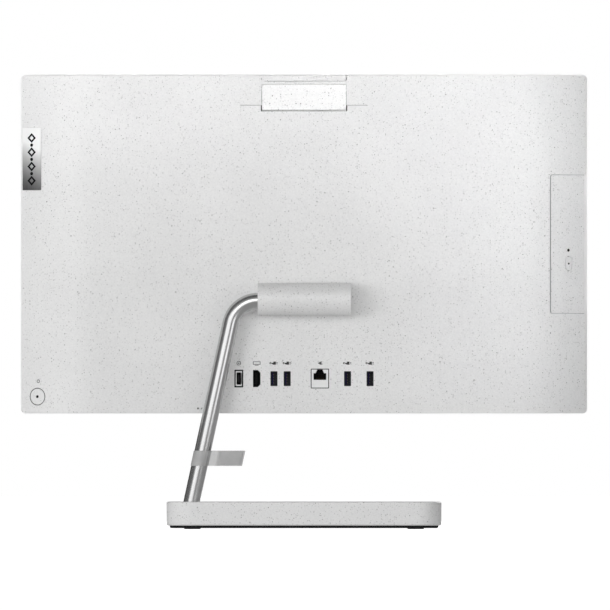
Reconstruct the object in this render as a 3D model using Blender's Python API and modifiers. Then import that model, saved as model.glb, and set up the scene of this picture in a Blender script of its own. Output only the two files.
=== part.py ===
"""An all in one PC: a display housing with the computer inside, tilting on a bent steel tube and a base.

The screen faces -Y and the rear cover +Y. The origin is on the table under the middle of the base.
Sizes and places are in millimetres, and the helpers turn them into metres.
"""

import math

import bmesh
import bpy
from mathutils import Matrix, Vector

MM = 0.001
GAP = 0.3  # between pieces that touch

# Display housing
HALF_WIDTH = 270.5
BOTTOM, TOP = 110.4, 433.8
FRONT, REAR = -20.0, 18.0
FRAME_BACK, COVER_FRONT, LIP_FRONT = -6.8, -6.5, -8.6
FRAME_WALL, COVER_WALL = 2.4, 2.2
COVER_INSET = 1.2
COVER_HALF = HALF_WIDTH - COVER_INSET
CORNER = 4.6
ARC_START, ARC_RADIUS, ARC_STEPS = 200.0, 114.7, 12
SCREEN_BOTTOM = 128.6
BOARD_BACK, BOARD_FACE = -5.6, -4.0
BOARD_HOLES = ((-109, 133), (112, 133), (112, 286), (56, 286))

# Hinge, tube and base
AXIS_Y, AXIS_Z = 38.0, 217.5
TUBE_RADIUS, TUBE_BORE = 7.75, 6.3
TUBE_START, TUBE_CORNER, TUBE_END_Z = 33.0, 65.5, 12.0
BEND_RADIUS, BEND_STEPS = 27.0, 9
LEAN = math.radians(12.3)
HINGE_COVER = (-44.8, 44.2)
HINGE_COVER_Z, HINGE_COVER_RADIUS = 219.15, 15.35
SHAFT_RADIUS, SHAFT_BORE, SHAFT_X = 5.9, 6.25, (-38.5, 41.0)
BARREL_HALF, BARREL_RADIUS = 30.0, 10.5
WASHER_RADIUS, NUT_RADIUS = 9.6, 9.4
BASE_HALF_WIDTH, BASE_HALF_DEPTH, BASE_CORNER = 131.2, 92.5, 24.0
BASE_BOTTOM, BASE_TOP, BASE_WALL = 3.7, 26.0, 3.2
BASE_TOP_EDGE, BASE_LOWER_EDGE = 1.4, 2.8
FOOT_RADIUS, FOOT_X, FOOT_Y = 7.65, 106.5, 67.5
FLANGE_X, FLANGE_Y, FLANGE_Z = (86, 126), (14, 62), (9.5, 13.5)
SCREW_PLACES = ((90, 18), (122, 18), (90, 58), (122, 58))
CLIP_Z, CLIP_RADIUS, CLIP_BORE = (60.2, 74.7), 8.95, 8.05
CLIP_LOOP_X, CLIP_LOOP_Y, CLIP_WALL = (-40.7, -15.0), (-9.5, 6.0), 1.5

# Camera that pops up through the top
CAMERA_HALF = 40.2
CAP_BOTTOM, CAP_TOP = 427.7, 433.5
WINDOW_BOTTOM, WINDOW_TOP = 399.5, 424.5
RECESS_HALF, RECESS_BOTTOM, RECESS_TOP = 61.0, 382.0, 404.6

# Disc drive in the slanted side
BEZEL_X = (-267.4, -235.6)
BEZEL_Z = (206.0, 337.8)
BEZEL_CORNER = 1.6
DRIVE_X, DRIVE_Y, DRIVE_Z = (-245.5, -119.0), (-6.3, 3.3), (207.4, 336.4)
DISC_X, DISC_Z = -188.0, 271.9
EJECT_X, EJECT_Z = -252.8, 253.3

POWER_X, POWER_Z, POWER_RADIUS, POWER_GAP = 254.7, 126.3, 7.65, 0.75
BADGE_X, BADGE_Z = (251.1, 268.9), (323.5, 383.2)
FAN_X, FAN_Z, FAN_RADIUS, BLADES = 165.0, 348.0, 31.0, 11
FAN_Y, FAN_CHAMBER, FAN_INTAKE, FAN_HUB = (-7.3, 8.7), 34.0, 22.0, 13.0
SINK_END, FINS, FIN_PITCH, FIN_WIDTH = 202.0, 17, 4.5, 1.2
PIPE_PATH = ((84, 234), (84, 330), (87, 362), (98, 392), (112, 407), (128, 412), (202, 412))

# Sockets: centre x, centre z, width and height of the outer shell
SOCKET_BACK, SOCKET_FACE = -3.7, 17.4
PORTS = {
    "dc_inlet": (62.3, 143.5, 8.2, 16.7),
    "hdmi_socket": (45.2, 143.5, 6.9, 16.1),
    "usb_socket_1": (28.7, 143.4, 6.5, 14.0),
    "usb_socket_2": (16.1, 143.4, 6.5, 14.0),
    "usb_socket_3": (-41.5, 143.4, 6.5, 14.0),
    "usb_socket_4": (-63.0, 143.4, 6.5, 14.0),
    "lan_socket": (-15.1, 143.5, 17.3, 18.7),
}
HDMI_TAPER = 2.5

# Material: colour, roughness, metallic
MATERIALS = {
    "speckled_plastic": ((0.80, 0.80, 0.80), 0.5, 0.0),
    "white_plastic": ((0.88, 0.88, 0.88), 0.45, 0.0),
    "black_plastic": ((0.02, 0.02, 0.022), 0.45, 0.0),
    "clear_plastic": ((0.62, 0.62, 0.62), 0.3, 0.0),
    "satin_steel": ((0.6, 0.6, 0.6), 0.3, 1.0),
    "plated_steel": ((0.55, 0.56, 0.57), 0.4, 1.0),
    "aluminium": ((0.7, 0.7, 0.72), 0.35, 1.0),
    "copper": ((0.72, 0.4, 0.25), 0.3, 1.0),
    "screen_glass": ((0.015, 0.016, 0.018), 0.12, 0.0),
    "circuit_board": ((0.03, 0.12, 0.07), 0.5, 0.0),
    "rubber": ((0.05, 0.05, 0.05), 0.8, 0.0),
    "badge_metal": ((0.45, 0.45, 0.46), 0.35, 1.0),
}

# Where a flat outline's own x, y and height point
PLANES = {
    "XY": Matrix.Identity(4),
    "XZ": Matrix.Rotation(math.pi / 2, 4, "X"),
    "YZ": Matrix(((0, 0, 1, 0), (1, 0, 0, 0), (0, 1, 0, 0), (0, 0, 0, 1))),
}


# --- Helpers ---


def clear_scene():
    for obj in list(bpy.data.objects):
        bpy.data.objects.remove(obj)


def new_collection(name):
    collection = bpy.data.collections.new(name)
    bpy.context.scene.collection.children.link(collection)
    return collection


def new_material(name):
    colour, roughness, metallic = MATERIALS[name]
    material = bpy.data.materials.new(name)
    material.use_nodes = True
    shader = material.node_tree.nodes["Principled BSDF"]
    shader.inputs["Base Color"].default_value = (*colour, 1.0)
    shader.inputs["Roughness"].default_value = roughness
    shader.inputs["Metallic"].default_value = metallic
    return material


def new_object(name, mesh):
    """Every shape starts among the cutters, and part() moves the real pieces out."""
    obj = bpy.data.objects.new(name, mesh)
    CUTTERS.objects.link(obj)
    obj.hide_render = True
    obj.display_type = "WIRE"
    return obj


def object_from(name, shape):
    bmesh.ops.recalc_face_normals(shape, faces=shape.faces)
    mesh = bpy.data.meshes.new(name)
    shape.to_mesh(mesh)
    shape.free()
    return new_object(name, mesh)


def mesh_of_curve(name, curve, matrix):
    """The curve made a mesh, with its caps welded to its sides."""
    guide = bpy.data.objects.new(name + "_curve", curve)
    guide.matrix_world = matrix
    CUTTERS.objects.link(guide)
    bpy.context.view_layer.update()
    graph = bpy.context.evaluated_depsgraph_get()
    mesh = bpy.data.meshes.new_from_object(guide.evaluated_get(graph))
    bpy.data.objects.remove(guide)
    shape = bmesh.new()
    shape.from_mesh(mesh)
    bpy.data.meshes.remove(mesh)
    bmesh.ops.remove_doubles(shape, verts=shape.verts, dist=0.00001)
    shape.transform(matrix)
    return object_from(name, shape)


def box(name, x, y, z):
    shape = bmesh.new()
    size = [(high - low) * MM for low, high in (x, y, z)]
    centre = [(high + low) / 2 * MM for low, high in (x, y, z)]
    bmesh.ops.create_cube(shape, size=1.0, matrix=Matrix.LocRotScale(Vector(centre), None, Vector(size)))
    return object_from(name, shape)


def cylinder(name, start, end, radius, sides=24):
    start, end = Vector(start) * MM, Vector(end) * MM
    turn = (end - start).to_track_quat("Z", "Y")
    shape = bmesh.new()
    bmesh.ops.create_cone(
        shape,
        cap_ends=True,
        segments=sides,
        radius1=radius * MM,
        radius2=radius * MM,
        depth=(end - start).length,
        matrix=Matrix.LocRotScale((start + end) / 2, turn, None),
    )
    return object_from(name, shape)


def turned(name, profile, place, direction, steps=24):
    """A profile of (radius, height) points, top to bottom, turned round a line from place along direction."""
    mesh = bpy.data.meshes.new(name)
    points = [(radius * MM, 0.0, height * MM) for radius, height in profile]
    mesh.from_pydata(points, [(i, i + 1) for i in range(len(points) - 1)], [])
    obj = new_object(name, mesh)
    obj.matrix_world = Matrix.LocRotScale(
        Vector(place) * MM, Vector(direction).to_track_quat("Z", "Y"), None
    )
    screw = obj.modifiers.new("Turn", "SCREW")
    screw.steps = screw.render_steps = steps
    screw.use_merge_vertices = True
    screw.merge_threshold = 0.00001
    return obj


def outline(name, loops, plane, low, high):
    """Flat outlines in a plane, made solid from low to high. A loop inside another is a hole."""
    curve = bpy.data.curves.new(name, "CURVE")
    curve.dimensions = "2D"
    curve.fill_mode = "BOTH"
    curve.extrude = (high - low) / 2 * MM
    for loop in loops:
        spline = curve.splines.new("POLY")
        spline.points.add(len(loop) - 1)
        for point, (across, up) in zip(spline.points, loop):
            point.co = (across * MM, up * MM, 0.0, 1.0)
        spline.use_cyclic_u = True
    middle = (low + high) / 2 * MM
    # The XZ plane's own height points to -Y.
    offset = Vector((0.0, 0.0, -middle if plane == "XZ" else middle))
    return mesh_of_curve(name, curve, PLANES[plane] @ Matrix.Translation(offset))


def tube(name, points, radius, resolution=4):
    curve = bpy.data.curves.new(name, "CURVE")
    curve.dimensions = "3D"
    curve.bevel_depth = radius * MM
    curve.bevel_resolution = resolution
    curve.use_fill_caps = True
    spline = curve.splines.new("POLY")
    spline.points.add(len(points) - 1)
    for point, place in zip(spline.points, points):
        point.co = (*(Vector(place) * MM), 1.0)
    return mesh_of_curve(name, curve, Matrix.Identity(4))


def arc(centre, radius, start, end, steps):
    """Points round a centre from one angle to another, in degrees."""
    angles = [math.radians(start + (end - start) * i / steps) for i in range(steps + 1)]
    return [(centre[0] + radius * math.cos(a), centre[1] + radius * math.sin(a)) for a in angles]


def rounded(x, y, radius, steps=5):
    """A rectangle's outline with round corners."""
    corners = (
        ((x[1] - radius, y[1] - radius), 0),
        ((x[0] + radius, y[1] - radius), 90),
        ((x[0] + radius, y[0] + radius), 180),
        ((x[1] - radius, y[0] + radius), 270),
    )
    return [p for centre, start in corners for p in arc(centre, radius, start, start + 90, steps)]


def rectangle(x, y):
    return [(x[0], y[0]), (x[1], y[0]), (x[1], y[1]), (x[0], y[1])]


def boolean(target, operation, others):
    for other in others:
        modifier = target.modifiers.new(other.name, "BOOLEAN")
        modifier.operation = operation
        modifier.solver = "EXACT"
        modifier.object = other
    return target


def cut(target, *others):
    return boolean(target, "DIFFERENCE", others)


def join(target, *others):
    return boolean(target, "UNION", others)


def common(target, *others):
    return boolean(target, "INTERSECT", others)


def part(obj, material, axis=None, smooth=False):
    """Makes a shape one of the object's pieces, on its joint's empty if it moves."""
    CUTTERS.objects.unlink(obj)
    PARTS.objects.link(obj)
    obj.hide_render = False
    obj.display_type = "TEXTURED"
    obj.data.materials.append(material_named[material])
    if smooth:
        obj.data.shade_smooth()
        obj.data.set_sharp_from_angle(angle=math.radians(35))
    if axis:
        obj.parent = axis
        obj.matrix_parent_inverse = axis.matrix_world.inverted()
    return obj


def joint_empty(name, place, direction, parent=None):
    empty = bpy.data.objects.new(name, None)
    PARTS.objects.link(empty)
    empty.matrix_world = Matrix.LocRotScale(
        Vector(place) * MM, Vector(direction).to_track_quat("Z", "Y"), None
    )
    if parent:
        empty.parent = parent
        empty.matrix_parent_inverse = parent.matrix_world.inverted()
    bpy.context.view_layer.update()
    return empty


# --- The rear surface, which the cover, the bezel, the badge and two buttons share ---


def rear_y(x, inset=0.0):
    """The rear surface's y at x, moved inwards by inset: flat in the middle, an arc towards each side."""
    beyond = max(0.0, abs(x) - ARC_START)
    return REAR - ARC_RADIUS + math.sqrt((ARC_RADIUS - inset) ** 2 - beyond**2)


def rear_path(start, end, inset=0.0, steps=ARC_STEPS):
    places = [start + (end - start) * i / steps for i in range(steps + 1)]
    return [(x, rear_y(x, inset)) for x in places]


def rear_solid(name, inset, front):
    """The housing's plan, inset by a wall, over more than its whole height."""
    side = COVER_HALF - inset
    plan = [(-side, front)] + rear_path(-side, -ARC_START, inset) + rear_path(ARC_START, side, inset)
    plan.append((side, front))
    height = (BOTTOM + COVER_INSET + inset, TOP - COVER_INSET - inset)
    return outline(name, [plan], "XY", *height)


def rear_normal(x):
    """The rear surface's outward direction at x."""
    across = math.copysign(max(0.0, abs(x) - ARC_START), x) / ARC_RADIUS
    return Vector((across, math.sqrt(1 - across**2), 0.0))


def rear_pin(name, x, z, radius, above, below, sides=28):
    """A round bar square to the rear surface at x."""
    place, normal = Vector((x, rear_y(x), z)), rear_normal(x)
    return cylinder(name, place - normal * below, place + normal * above, radius, sides)


def rear_pill(name, x, z, width, height, above, below):
    """A bar with a long round-ended section, square to the rear surface at x."""
    section = rounded((-width / 2, width / 2), (-height / 2, height / 2), width / 2.01, 6)
    bar = outline(name, [section], "XY", -below, above)
    normal = rear_normal(x)
    across = Vector((normal.y, -normal.x, 0.0))
    turn = Matrix((across, Vector((0, 0, 1)), -normal)).transposed().to_4x4()
    # The bar's own height runs along the normal after a half turn about its own y.
    flip = Matrix.Rotation(math.pi, 4, "Y")
    place = Vector((x, rear_y(x), z)) * MM
    bar.data.transform(Matrix.Translation(place) @ turn @ flip)
    return bar


# --- Stand ---


def leg_point(z):
    """The leaning leg's centre line at height z."""
    return (TUBE_CORNER + (AXIS_Z - z) * math.tan(LEAN), AXIS_Y, z)


def tube_path(past=0.0):
    """The tube's centre line, running past both its ends by a length."""
    tangent = BEND_RADIUS * math.tan((math.pi / 2 - LEAN) / 2)
    bend_centre = (TUBE_CORNER - tangent, AXIS_Z - BEND_RADIUS)
    bend = [(x, AXIS_Y, z) for x, z in arc(bend_centre, BEND_RADIUS, 90, math.degrees(LEAN), BEND_STEPS)]
    return [(TUBE_START - past, AXIS_Y, AXIS_Z)] + bend + [leg_point(TUBE_END_Z - past)]


def round_edges(obj, height, width, segments):
    """Rounds the edges that run round an outline at one height."""
    shape = bmesh.new()
    shape.from_mesh(obj.data)
    level = [edge for edge in shape.edges if all(abs(v.co.z - height * MM) < 0.000001 for v in edge.verts)]
    rim = [edge for edge in level if edge.calc_face_angle(0.0) > 1.0]
    bmesh.ops.bevel(shape, geom=rim, offset=width * MM, segments=segments, profile=0.5, affect="EDGES")
    shape.to_mesh(obj.data)
    shape.free()


def build_base():
    slab = rounded((-BASE_HALF_WIDTH, BASE_HALF_WIDTH), (-BASE_HALF_DEPTH, BASE_HALF_DEPTH), BASE_CORNER, 8)
    shell = outline("base_shell", [slab], "XY", BASE_BOTTOM, BASE_TOP)
    round_edges(shell, BASE_TOP, BASE_TOP_EDGE, 2)
    round_edges(shell, BASE_BOTTOM, BASE_LOWER_EDGE, 3)
    inner_x, inner_y = BASE_HALF_WIDTH - BASE_WALL, BASE_HALF_DEPTH - BASE_WALL
    hollow = rounded((-inner_x, inner_x), (-inner_y, inner_y), BASE_CORNER - BASE_WALL, 8)
    leg_hole = cylinder("base_leg_hole", leg_point(40), leg_point(15), TUBE_RADIUS + GAP)
    cut(shell, outline("base_hollow", [hollow], "XY", 0, BASE_TOP - BASE_WALL), leg_hole)
    part(shell, "speckled_plastic", smooth=True)

    weight = outline("base_weight_plate", [rounded((-121, 121), (-82, 82), 15)], "XY", 5.0, 9.2)
    part(weight, "plated_steel")
    cover = outline("base_bottom_cover", [rounded((-128, 128), (-89.3, 89.3), 21, 8)], "XY", 1.4, 3.4)
    for number, (side, end) in enumerate(((1, 1), (-1, 1), (-1, -1), (1, -1)), 1):
        x, y = side * FOOT_X, end * FOOT_Y
        cut(cover, cylinder(f"foot_pocket_{number}", (x, y, 0), (x, y, 2.3), FOOT_RADIUS + GAP))
        foot = turned(
            f"base_foot_{number}",
            [(0, 2.0), (FOOT_RADIUS, 2.0), (FOOT_RADIUS, 0.5), (FOOT_RADIUS - 0.5, 0), (0, 0)],
            (x, y, 0),
            (0, 0, 1),
        )
        part(foot, "rubber", smooth=True)
    part(cover, "black_plastic")


def build_tube():
    stand_tube = tube("stand_tube", tube_path(), TUBE_RADIUS)
    cut(stand_tube, tube("stand_tube_bore", tube_path(4), TUBE_BORE))
    part(stand_tube, "satin_steel", smooth=True)

    flange = box("tube_flange", FLANGE_X, FLANGE_Y, FLANGE_Z)
    join(flange, cylinder("tube_collar", leg_point(11), leg_point(20), 11))
    cut(
        flange,
        cylinder("flange_hole", leg_point(35), leg_point(0), TUBE_RADIUS + GAP),
        box("flange_foot", (80, 135), (5, 70), (4, FLANGE_Z[0])),
    )
    for number, (x, y) in enumerate(SCREW_PLACES, 1):
        cut(flange, cylinder(f"flange_screw_hole_{number}", (x, y, 5), (x, y, 20), 2.0, 12))
        screw = turned(
            f"flange_screw_{number}",
            [(0, 16.0), (2.6, 16.0), (3.4, 15.2), (3.4, 13.8), (1.6, 13.8), (1.6, 9.6), (0, 9.6)],
            (x, y, 0),
            (0, 0, 1),
            14,
        )
        part(screw, "plated_steel")
    part(flange, "plated_steel")


def ring(name, x, radius, sides=24):
    """A disc round the hinge shaft, between two values of x."""
    disc = cylinder(name, (x[0], AXIS_Y, AXIS_Z), (x[1], AXIS_Y, AXIS_Z), radius, sides)
    hole = cylinder(name + "_hole", (x[0] - 1, AXIS_Y, AXIS_Z), (x[1] + 1, AXIS_Y, AXIS_Z), SHAFT_BORE, 20)
    return cut(disc, hole)


def build_hinge(tilt_axis):
    shaft_start, shaft_end = ((x, AXIS_Y, AXIS_Z) for x in SHAFT_X)
    shaft = cylinder("hinge_shaft", shaft_start, shaft_end, SHAFT_RADIUS, 20)
    part(shaft, "plated_steel", smooth=True)
    part(ring("friction_washer_1", (BARREL_HALF + 0.4, BARREL_HALF + 2.4), WASHER_RADIUS), "plated_steel")
    part(ring("friction_washer_2", (-BARREL_HALF - 2.4, -BARREL_HALF - 0.4), WASHER_RADIUS), "plated_steel")
    part(ring("hinge_nut", (-BARREL_HALF - 7.2, -BARREL_HALF - 2.8), NUT_RADIUS, 6), "plated_steel")

    bracket = box("hinge_bracket", (-38, 38), (-7.6, -5.1), (190, 245))
    web = box("hinge_web", (-28, 28), (-6, AXIS_Y), (211.5, 223.5))
    barrel_start, barrel_end = ((x, AXIS_Y, AXIS_Z) for x in (-BARREL_HALF, BARREL_HALF))
    barrel = cylinder("hinge_barrel", barrel_start, barrel_end, BARREL_RADIUS)
    join(bracket, web, barrel)
    cut(bracket, cylinder("barrel_bore", (-40, AXIS_Y, AXIS_Z), (40, AXIS_Y, AXIS_Z), SHAFT_BORE, 20))
    part(bracket, "plated_steel", tilt_axis)

    def dome(radius, start):
        lower, upper = HINGE_COVER_Z - radius, HINGE_COVER_Z + radius
        return [(start, upper), (start, lower)] + arc((AXIS_Y, HINGE_COVER_Z), radius, -90, 90, 14)

    start, end = HINGE_COVER
    cover = outline("hinge_cover", [dome(HINGE_COVER_RADIUS, REAR + GAP)], "YZ", start, end)
    cut(
        cover,
        outline("hinge_cover_hollow", [dome(HINGE_COVER_RADIUS - 2, REAR - 5)], "YZ", start + 2, end - 2),
        cylinder("hinge_cover_hole", (35, AXIS_Y, AXIS_Z), (50, AXIS_Y, AXIS_Z), TUBE_RADIUS + 0.35),
    )
    part(cover, "speckled_plastic", tilt_axis, smooth=True)


def build_cable_clip(clip_axis):
    """A ring round the leg and a loop for the cables, joined by a neck and leaning with the leg."""
    low, high = CLIP_Z
    past = (low - 2, high + 2)
    leg_x = leg_point(low)[0]
    loop_x = (leg_x + CLIP_LOOP_X[0], leg_x + CLIP_LOOP_X[1])
    loop_y = (AXIS_Y + CLIP_LOOP_Y[0], AXIS_Y + CLIP_LOOP_Y[1])
    hole_x = (loop_x[0] + CLIP_WALL, loop_x[1] - CLIP_WALL)
    hole_y = (loop_y[0] + CLIP_WALL, loop_y[1] - CLIP_WALL)
    shoulder, joint = leg_x - 8.7, loop_x[1] - 0.5
    neck_loop = [
        (leg_x, AXIS_Y + CLIP_RADIUS), (shoulder, AXIS_Y + 5.2), (joint, AXIS_Y + 5.2),
        (joint, AXIS_Y + 3.4), (shoulder, AXIS_Y + 3.4), (leg_x, AXIS_Y + 1),
    ]
    clip = outline("cable_clip", [arc((leg_x, AXIS_Y), CLIP_RADIUS, 0, 345, 23)], "XY", low, high)
    neck = outline("clip_neck", [neck_loop], "XY", low, high)
    loop = outline("clip_loop", [rounded(loop_x, loop_y, 4)], "XY", low, high)
    join(clip, neck, loop)
    cut(
        clip,
        outline("clip_bore", [arc((leg_x, AXIS_Y), CLIP_BORE, 0, 345, 23)], "XY", *past),
        outline("clip_loop_hole", [rounded(hole_x, hole_y, 2.6)], "XY", *past),
        box("clip_slit", (leg_x - 3, leg_x + 3), (AXIS_Y - 12, AXIS_Y - 5), (low - 5, high + 5)),
    )
    lean = Matrix.Identity(4)
    lean[0][2] = -math.tan(LEAN)
    lean[0][3] = low * MM * math.tan(LEAN)
    for modifier in clip.modifiers:
        modifier.object.data.transform(lean)
    clip.data.transform(lean)
    part(clip, "clear_plastic", clip_axis, smooth=True)


# --- Display ---


def build_front(tilt_axis):
    inside = HALF_WIDTH - FRAME_WALL
    floor, ceiling = BOTTOM + FRAME_WALL, TOP - FRAME_WALL
    frame = outline("front_frame", [rounded((-HALF_WIDTH, HALF_WIDTH), (BOTTOM, TOP), CORNER)],
                    "XZ", FRONT, FRAME_BACK)
    cut(
        frame,
        box("frame_pocket", (-inside, inside), (-16.1, 0), (floor, ceiling)),
        box("panel_pocket", (-inside, inside), (-18.4, -10), (125.7, ceiling)),
        box("glass_opening", (-265.7, 265.7), (-25, -17), (SCREEN_BOTTOM, 429.0)),
        box("lower_bezel_seat", (-inside, inside), (-25, -18.1), (floor, SCREEN_BOTTOM + 1)),
    )
    # A lip closes the gap between the frame's side and the disc drive's bezel.
    join(frame, box("side_lip", (1 - HALF_WIDTH, BEZEL_X[0] + 1), (LIP_FRONT, FRAME_BACK), BEZEL_Z))
    part(frame, "white_plastic", tilt_axis)
    lower_x, lower_z = (-inside + GAP, inside - GAP), (floor + GAP, SCREEN_BOTTOM - GAP)
    lower = box("lower_bezel", lower_x, (-19.9, -18.4), lower_z)
    part(lower, "white_plastic", tilt_axis)
    part(box("screen_glass", (-265.4, 265.4), (-19.7, -18.5), (SCREEN_BOTTOM + GAP, 428.7)),
         "screen_glass", tilt_axis)
    part(box("lcd_panel", (-267.6, 267.6), (-18.1, -9.0), (126.1, 431.0)), "aluminium", tilt_axis)
    edge = rounded((-262, 262), (116, 428), 4)
    cable_holes = [rounded((-90, -50), (205, 225), 4), rounded((58, 98), (300, 330), 4)]
    plate = outline("chassis_plate", [edge, *cable_holes], "XZ", -8.7, -7.9)
    part(plate, "plated_steel", tilt_axis)


def socket_loop(name, grow=0.0):
    """A socket's outer outline, grown all round. The video socket has two slanted corners."""
    x, z, width, height = PORTS[name]
    left, right = x - width / 2 - grow, x + width / 2 + grow
    low, high = z - height / 2 - grow, z + height / 2 + grow
    if name != "hdmi_socket":
        return rectangle((left, right), (low, high))
    slant = left + HDMI_TAPER
    return [
        (right, low), (right, high), (slant, high), (left, high - HDMI_TAPER),
        (left, low + HDMI_TAPER), (slant, low),
    ]


def vent_slots(name, z):
    """Slots through the cover's top or bottom, in a row on each side of the middle."""
    loops = []
    for side in (-1, 1):
        for number in range(12):
            x = side * (70 + 10 * number)
            loops.append(rectangle((x - 1.7, x + 1.7), (-1, 11)))
    return outline(name, loops, "XY", *z)


def build_back_cover(tilt_axis):
    cover = rear_solid("back_cover", 0.0, COVER_FRONT)
    corners = rounded((-COVER_HALF, COVER_HALF), (BOTTOM + COVER_INSET, TOP - COVER_INSET), CORNER - 0.8)
    common(cover, outline("cover_corners", [corners], "XZ", -20, 30))
    cut(cover, rear_solid("cover_hollow", COVER_WALL, -12))
    join(cover, box("recess_boss", (-63, 63), (13.6, 16.9), (378, 406.8)))
    ramp = [(15.8, RECESS_TOP), (25, RECESS_TOP), (25, RECESS_BOTTOM), (REAR, RECESS_BOTTOM)]
    badge_seat = rear_path(BADGE_X[0] - GAP, COVER_HALF - 0.9, 0.9, 5)
    badge_seat += [(COVER_HALF - 0.9, -9), (280, -9), (280, 30), (BADGE_X[0] - GAP, 30)]
    opening = CAMERA_HALF + GAP
    bezel_z = (BEZEL_Z[0] - GAP, BEZEL_Z[1] + GAP)
    bezel_opening = rounded((-300, BEZEL_X[1] + GAP), bezel_z, BEZEL_CORNER + GAP, 4)
    cut(
        cover,
        outline("finger_recess", [ramp], "YZ", -RECESS_HALF, RECESS_HALF),
        outline("slider_window", [rounded((-opening, opening), (WINDOW_BOTTOM, WINDOW_TOP), 0.8, 2)],
                "XZ", 5, 25),
        outline("camera_notch", [rounded((-opening - GAP, opening + GAP), (CAP_BOTTOM - GAP, 450), 2.6)],
                "XZ", -15, 25),
        outline("bezel_opening", [bezel_opening], "XZ", COVER_FRONT - 3, 30),
        rear_pin("power_button_hole", POWER_X, POWER_Z, POWER_RADIUS + POWER_GAP, 5, 10),
        outline("badge_seat", [badge_seat], "XY", BADGE_Z[0] - GAP, BADGE_Z[1] + GAP),
        box("hinge_slot", (-31, 31), (10, 25), (208, 227.5)),
        outline("port_holes", [socket_loop(name, GAP) for name in PORTS], "XZ", 10, 25),
        cylinder("lock_hole", (101.4, 10, 114.9), (101.4, 25, 114.9), 0.9, 10),
        vent_slots("top_vents", (TOP - 8, TOP + 5)),
        vent_slots("bottom_vents", (BOTTOM - 5, BOTTOM + 8)),
    )
    part(cover, "speckled_plastic", tilt_axis, smooth=True)

    badge = rear_path(BADGE_X[0], BADGE_X[1], -0.3, 5) + rear_path(BADGE_X[1], BADGE_X[0], 0.6, 5)
    part(outline("rear_badge", [badge], "XY", *BADGE_Z), "badge_metal", tilt_axis, smooth=True)


def cavity_loops(name):
    """A socket's cavity and, for most, the tongue or pin that stands in it."""
    x, z = PORTS[name][:2]

    def around(left, right, half_height):
        return rectangle((x + left, x + right), (z - half_height, z + half_height))

    if name.startswith("usb"):
        return [around(-2.65, 2.65, 6.4), around(0.3, 2.1, 5.6)]
    if name == "hdmi_socket":
        return [around(-1.9, 2.6, 6.6), around(-0.4, 0.8, 5.0)]
    if name == "dc_inlet":
        return [around(-2.2, 2.2, 5.6), around(-0.6, 0.6, 3.8)]
    bottom, shoulder, roof = z - 1.3, z + 5.2, z + 8.6
    return [[
        (x - 6.1, bottom), (x + 6.1, bottom), (x + 6.1, shoulder), (x + 4.0, shoulder),
        (x + 2.6, roof), (x - 2.6, roof), (x - 4.0, shoulder), (x - 6.1, shoulder),
    ]]


def build_sockets(tilt_axis):
    for name in PORTS:
        shell = outline(name, [socket_loop(name)], "XZ", SOCKET_BACK, SOCKET_FACE)
        cut(shell, outline(name + "_cavity", cavity_loops(name), "XZ", 4.0, SOCKET_FACE + 2))
        part(shell, "white_plastic" if name == "lan_socket" else "black_plastic", tilt_axis)


def board_with_chips(name, x, z, chips, axis):
    """A thin module whose chips stand in a row on its face."""
    board = box(name, x, (-3.4, -2.4), z)
    pitch = (x[1] - x[0]) / chips
    for number in range(chips):
        middle = x[0] + pitch * (number + 0.5)
        reach = pitch * 0.36
        join(board, box(f"{name}_chip_{number}", (middle - reach, middle + reach), (-2.8, -1.4),
                        (z[0] + 5, z[1] - 4)))
    return part(board, "circuit_board", axis)


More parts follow.
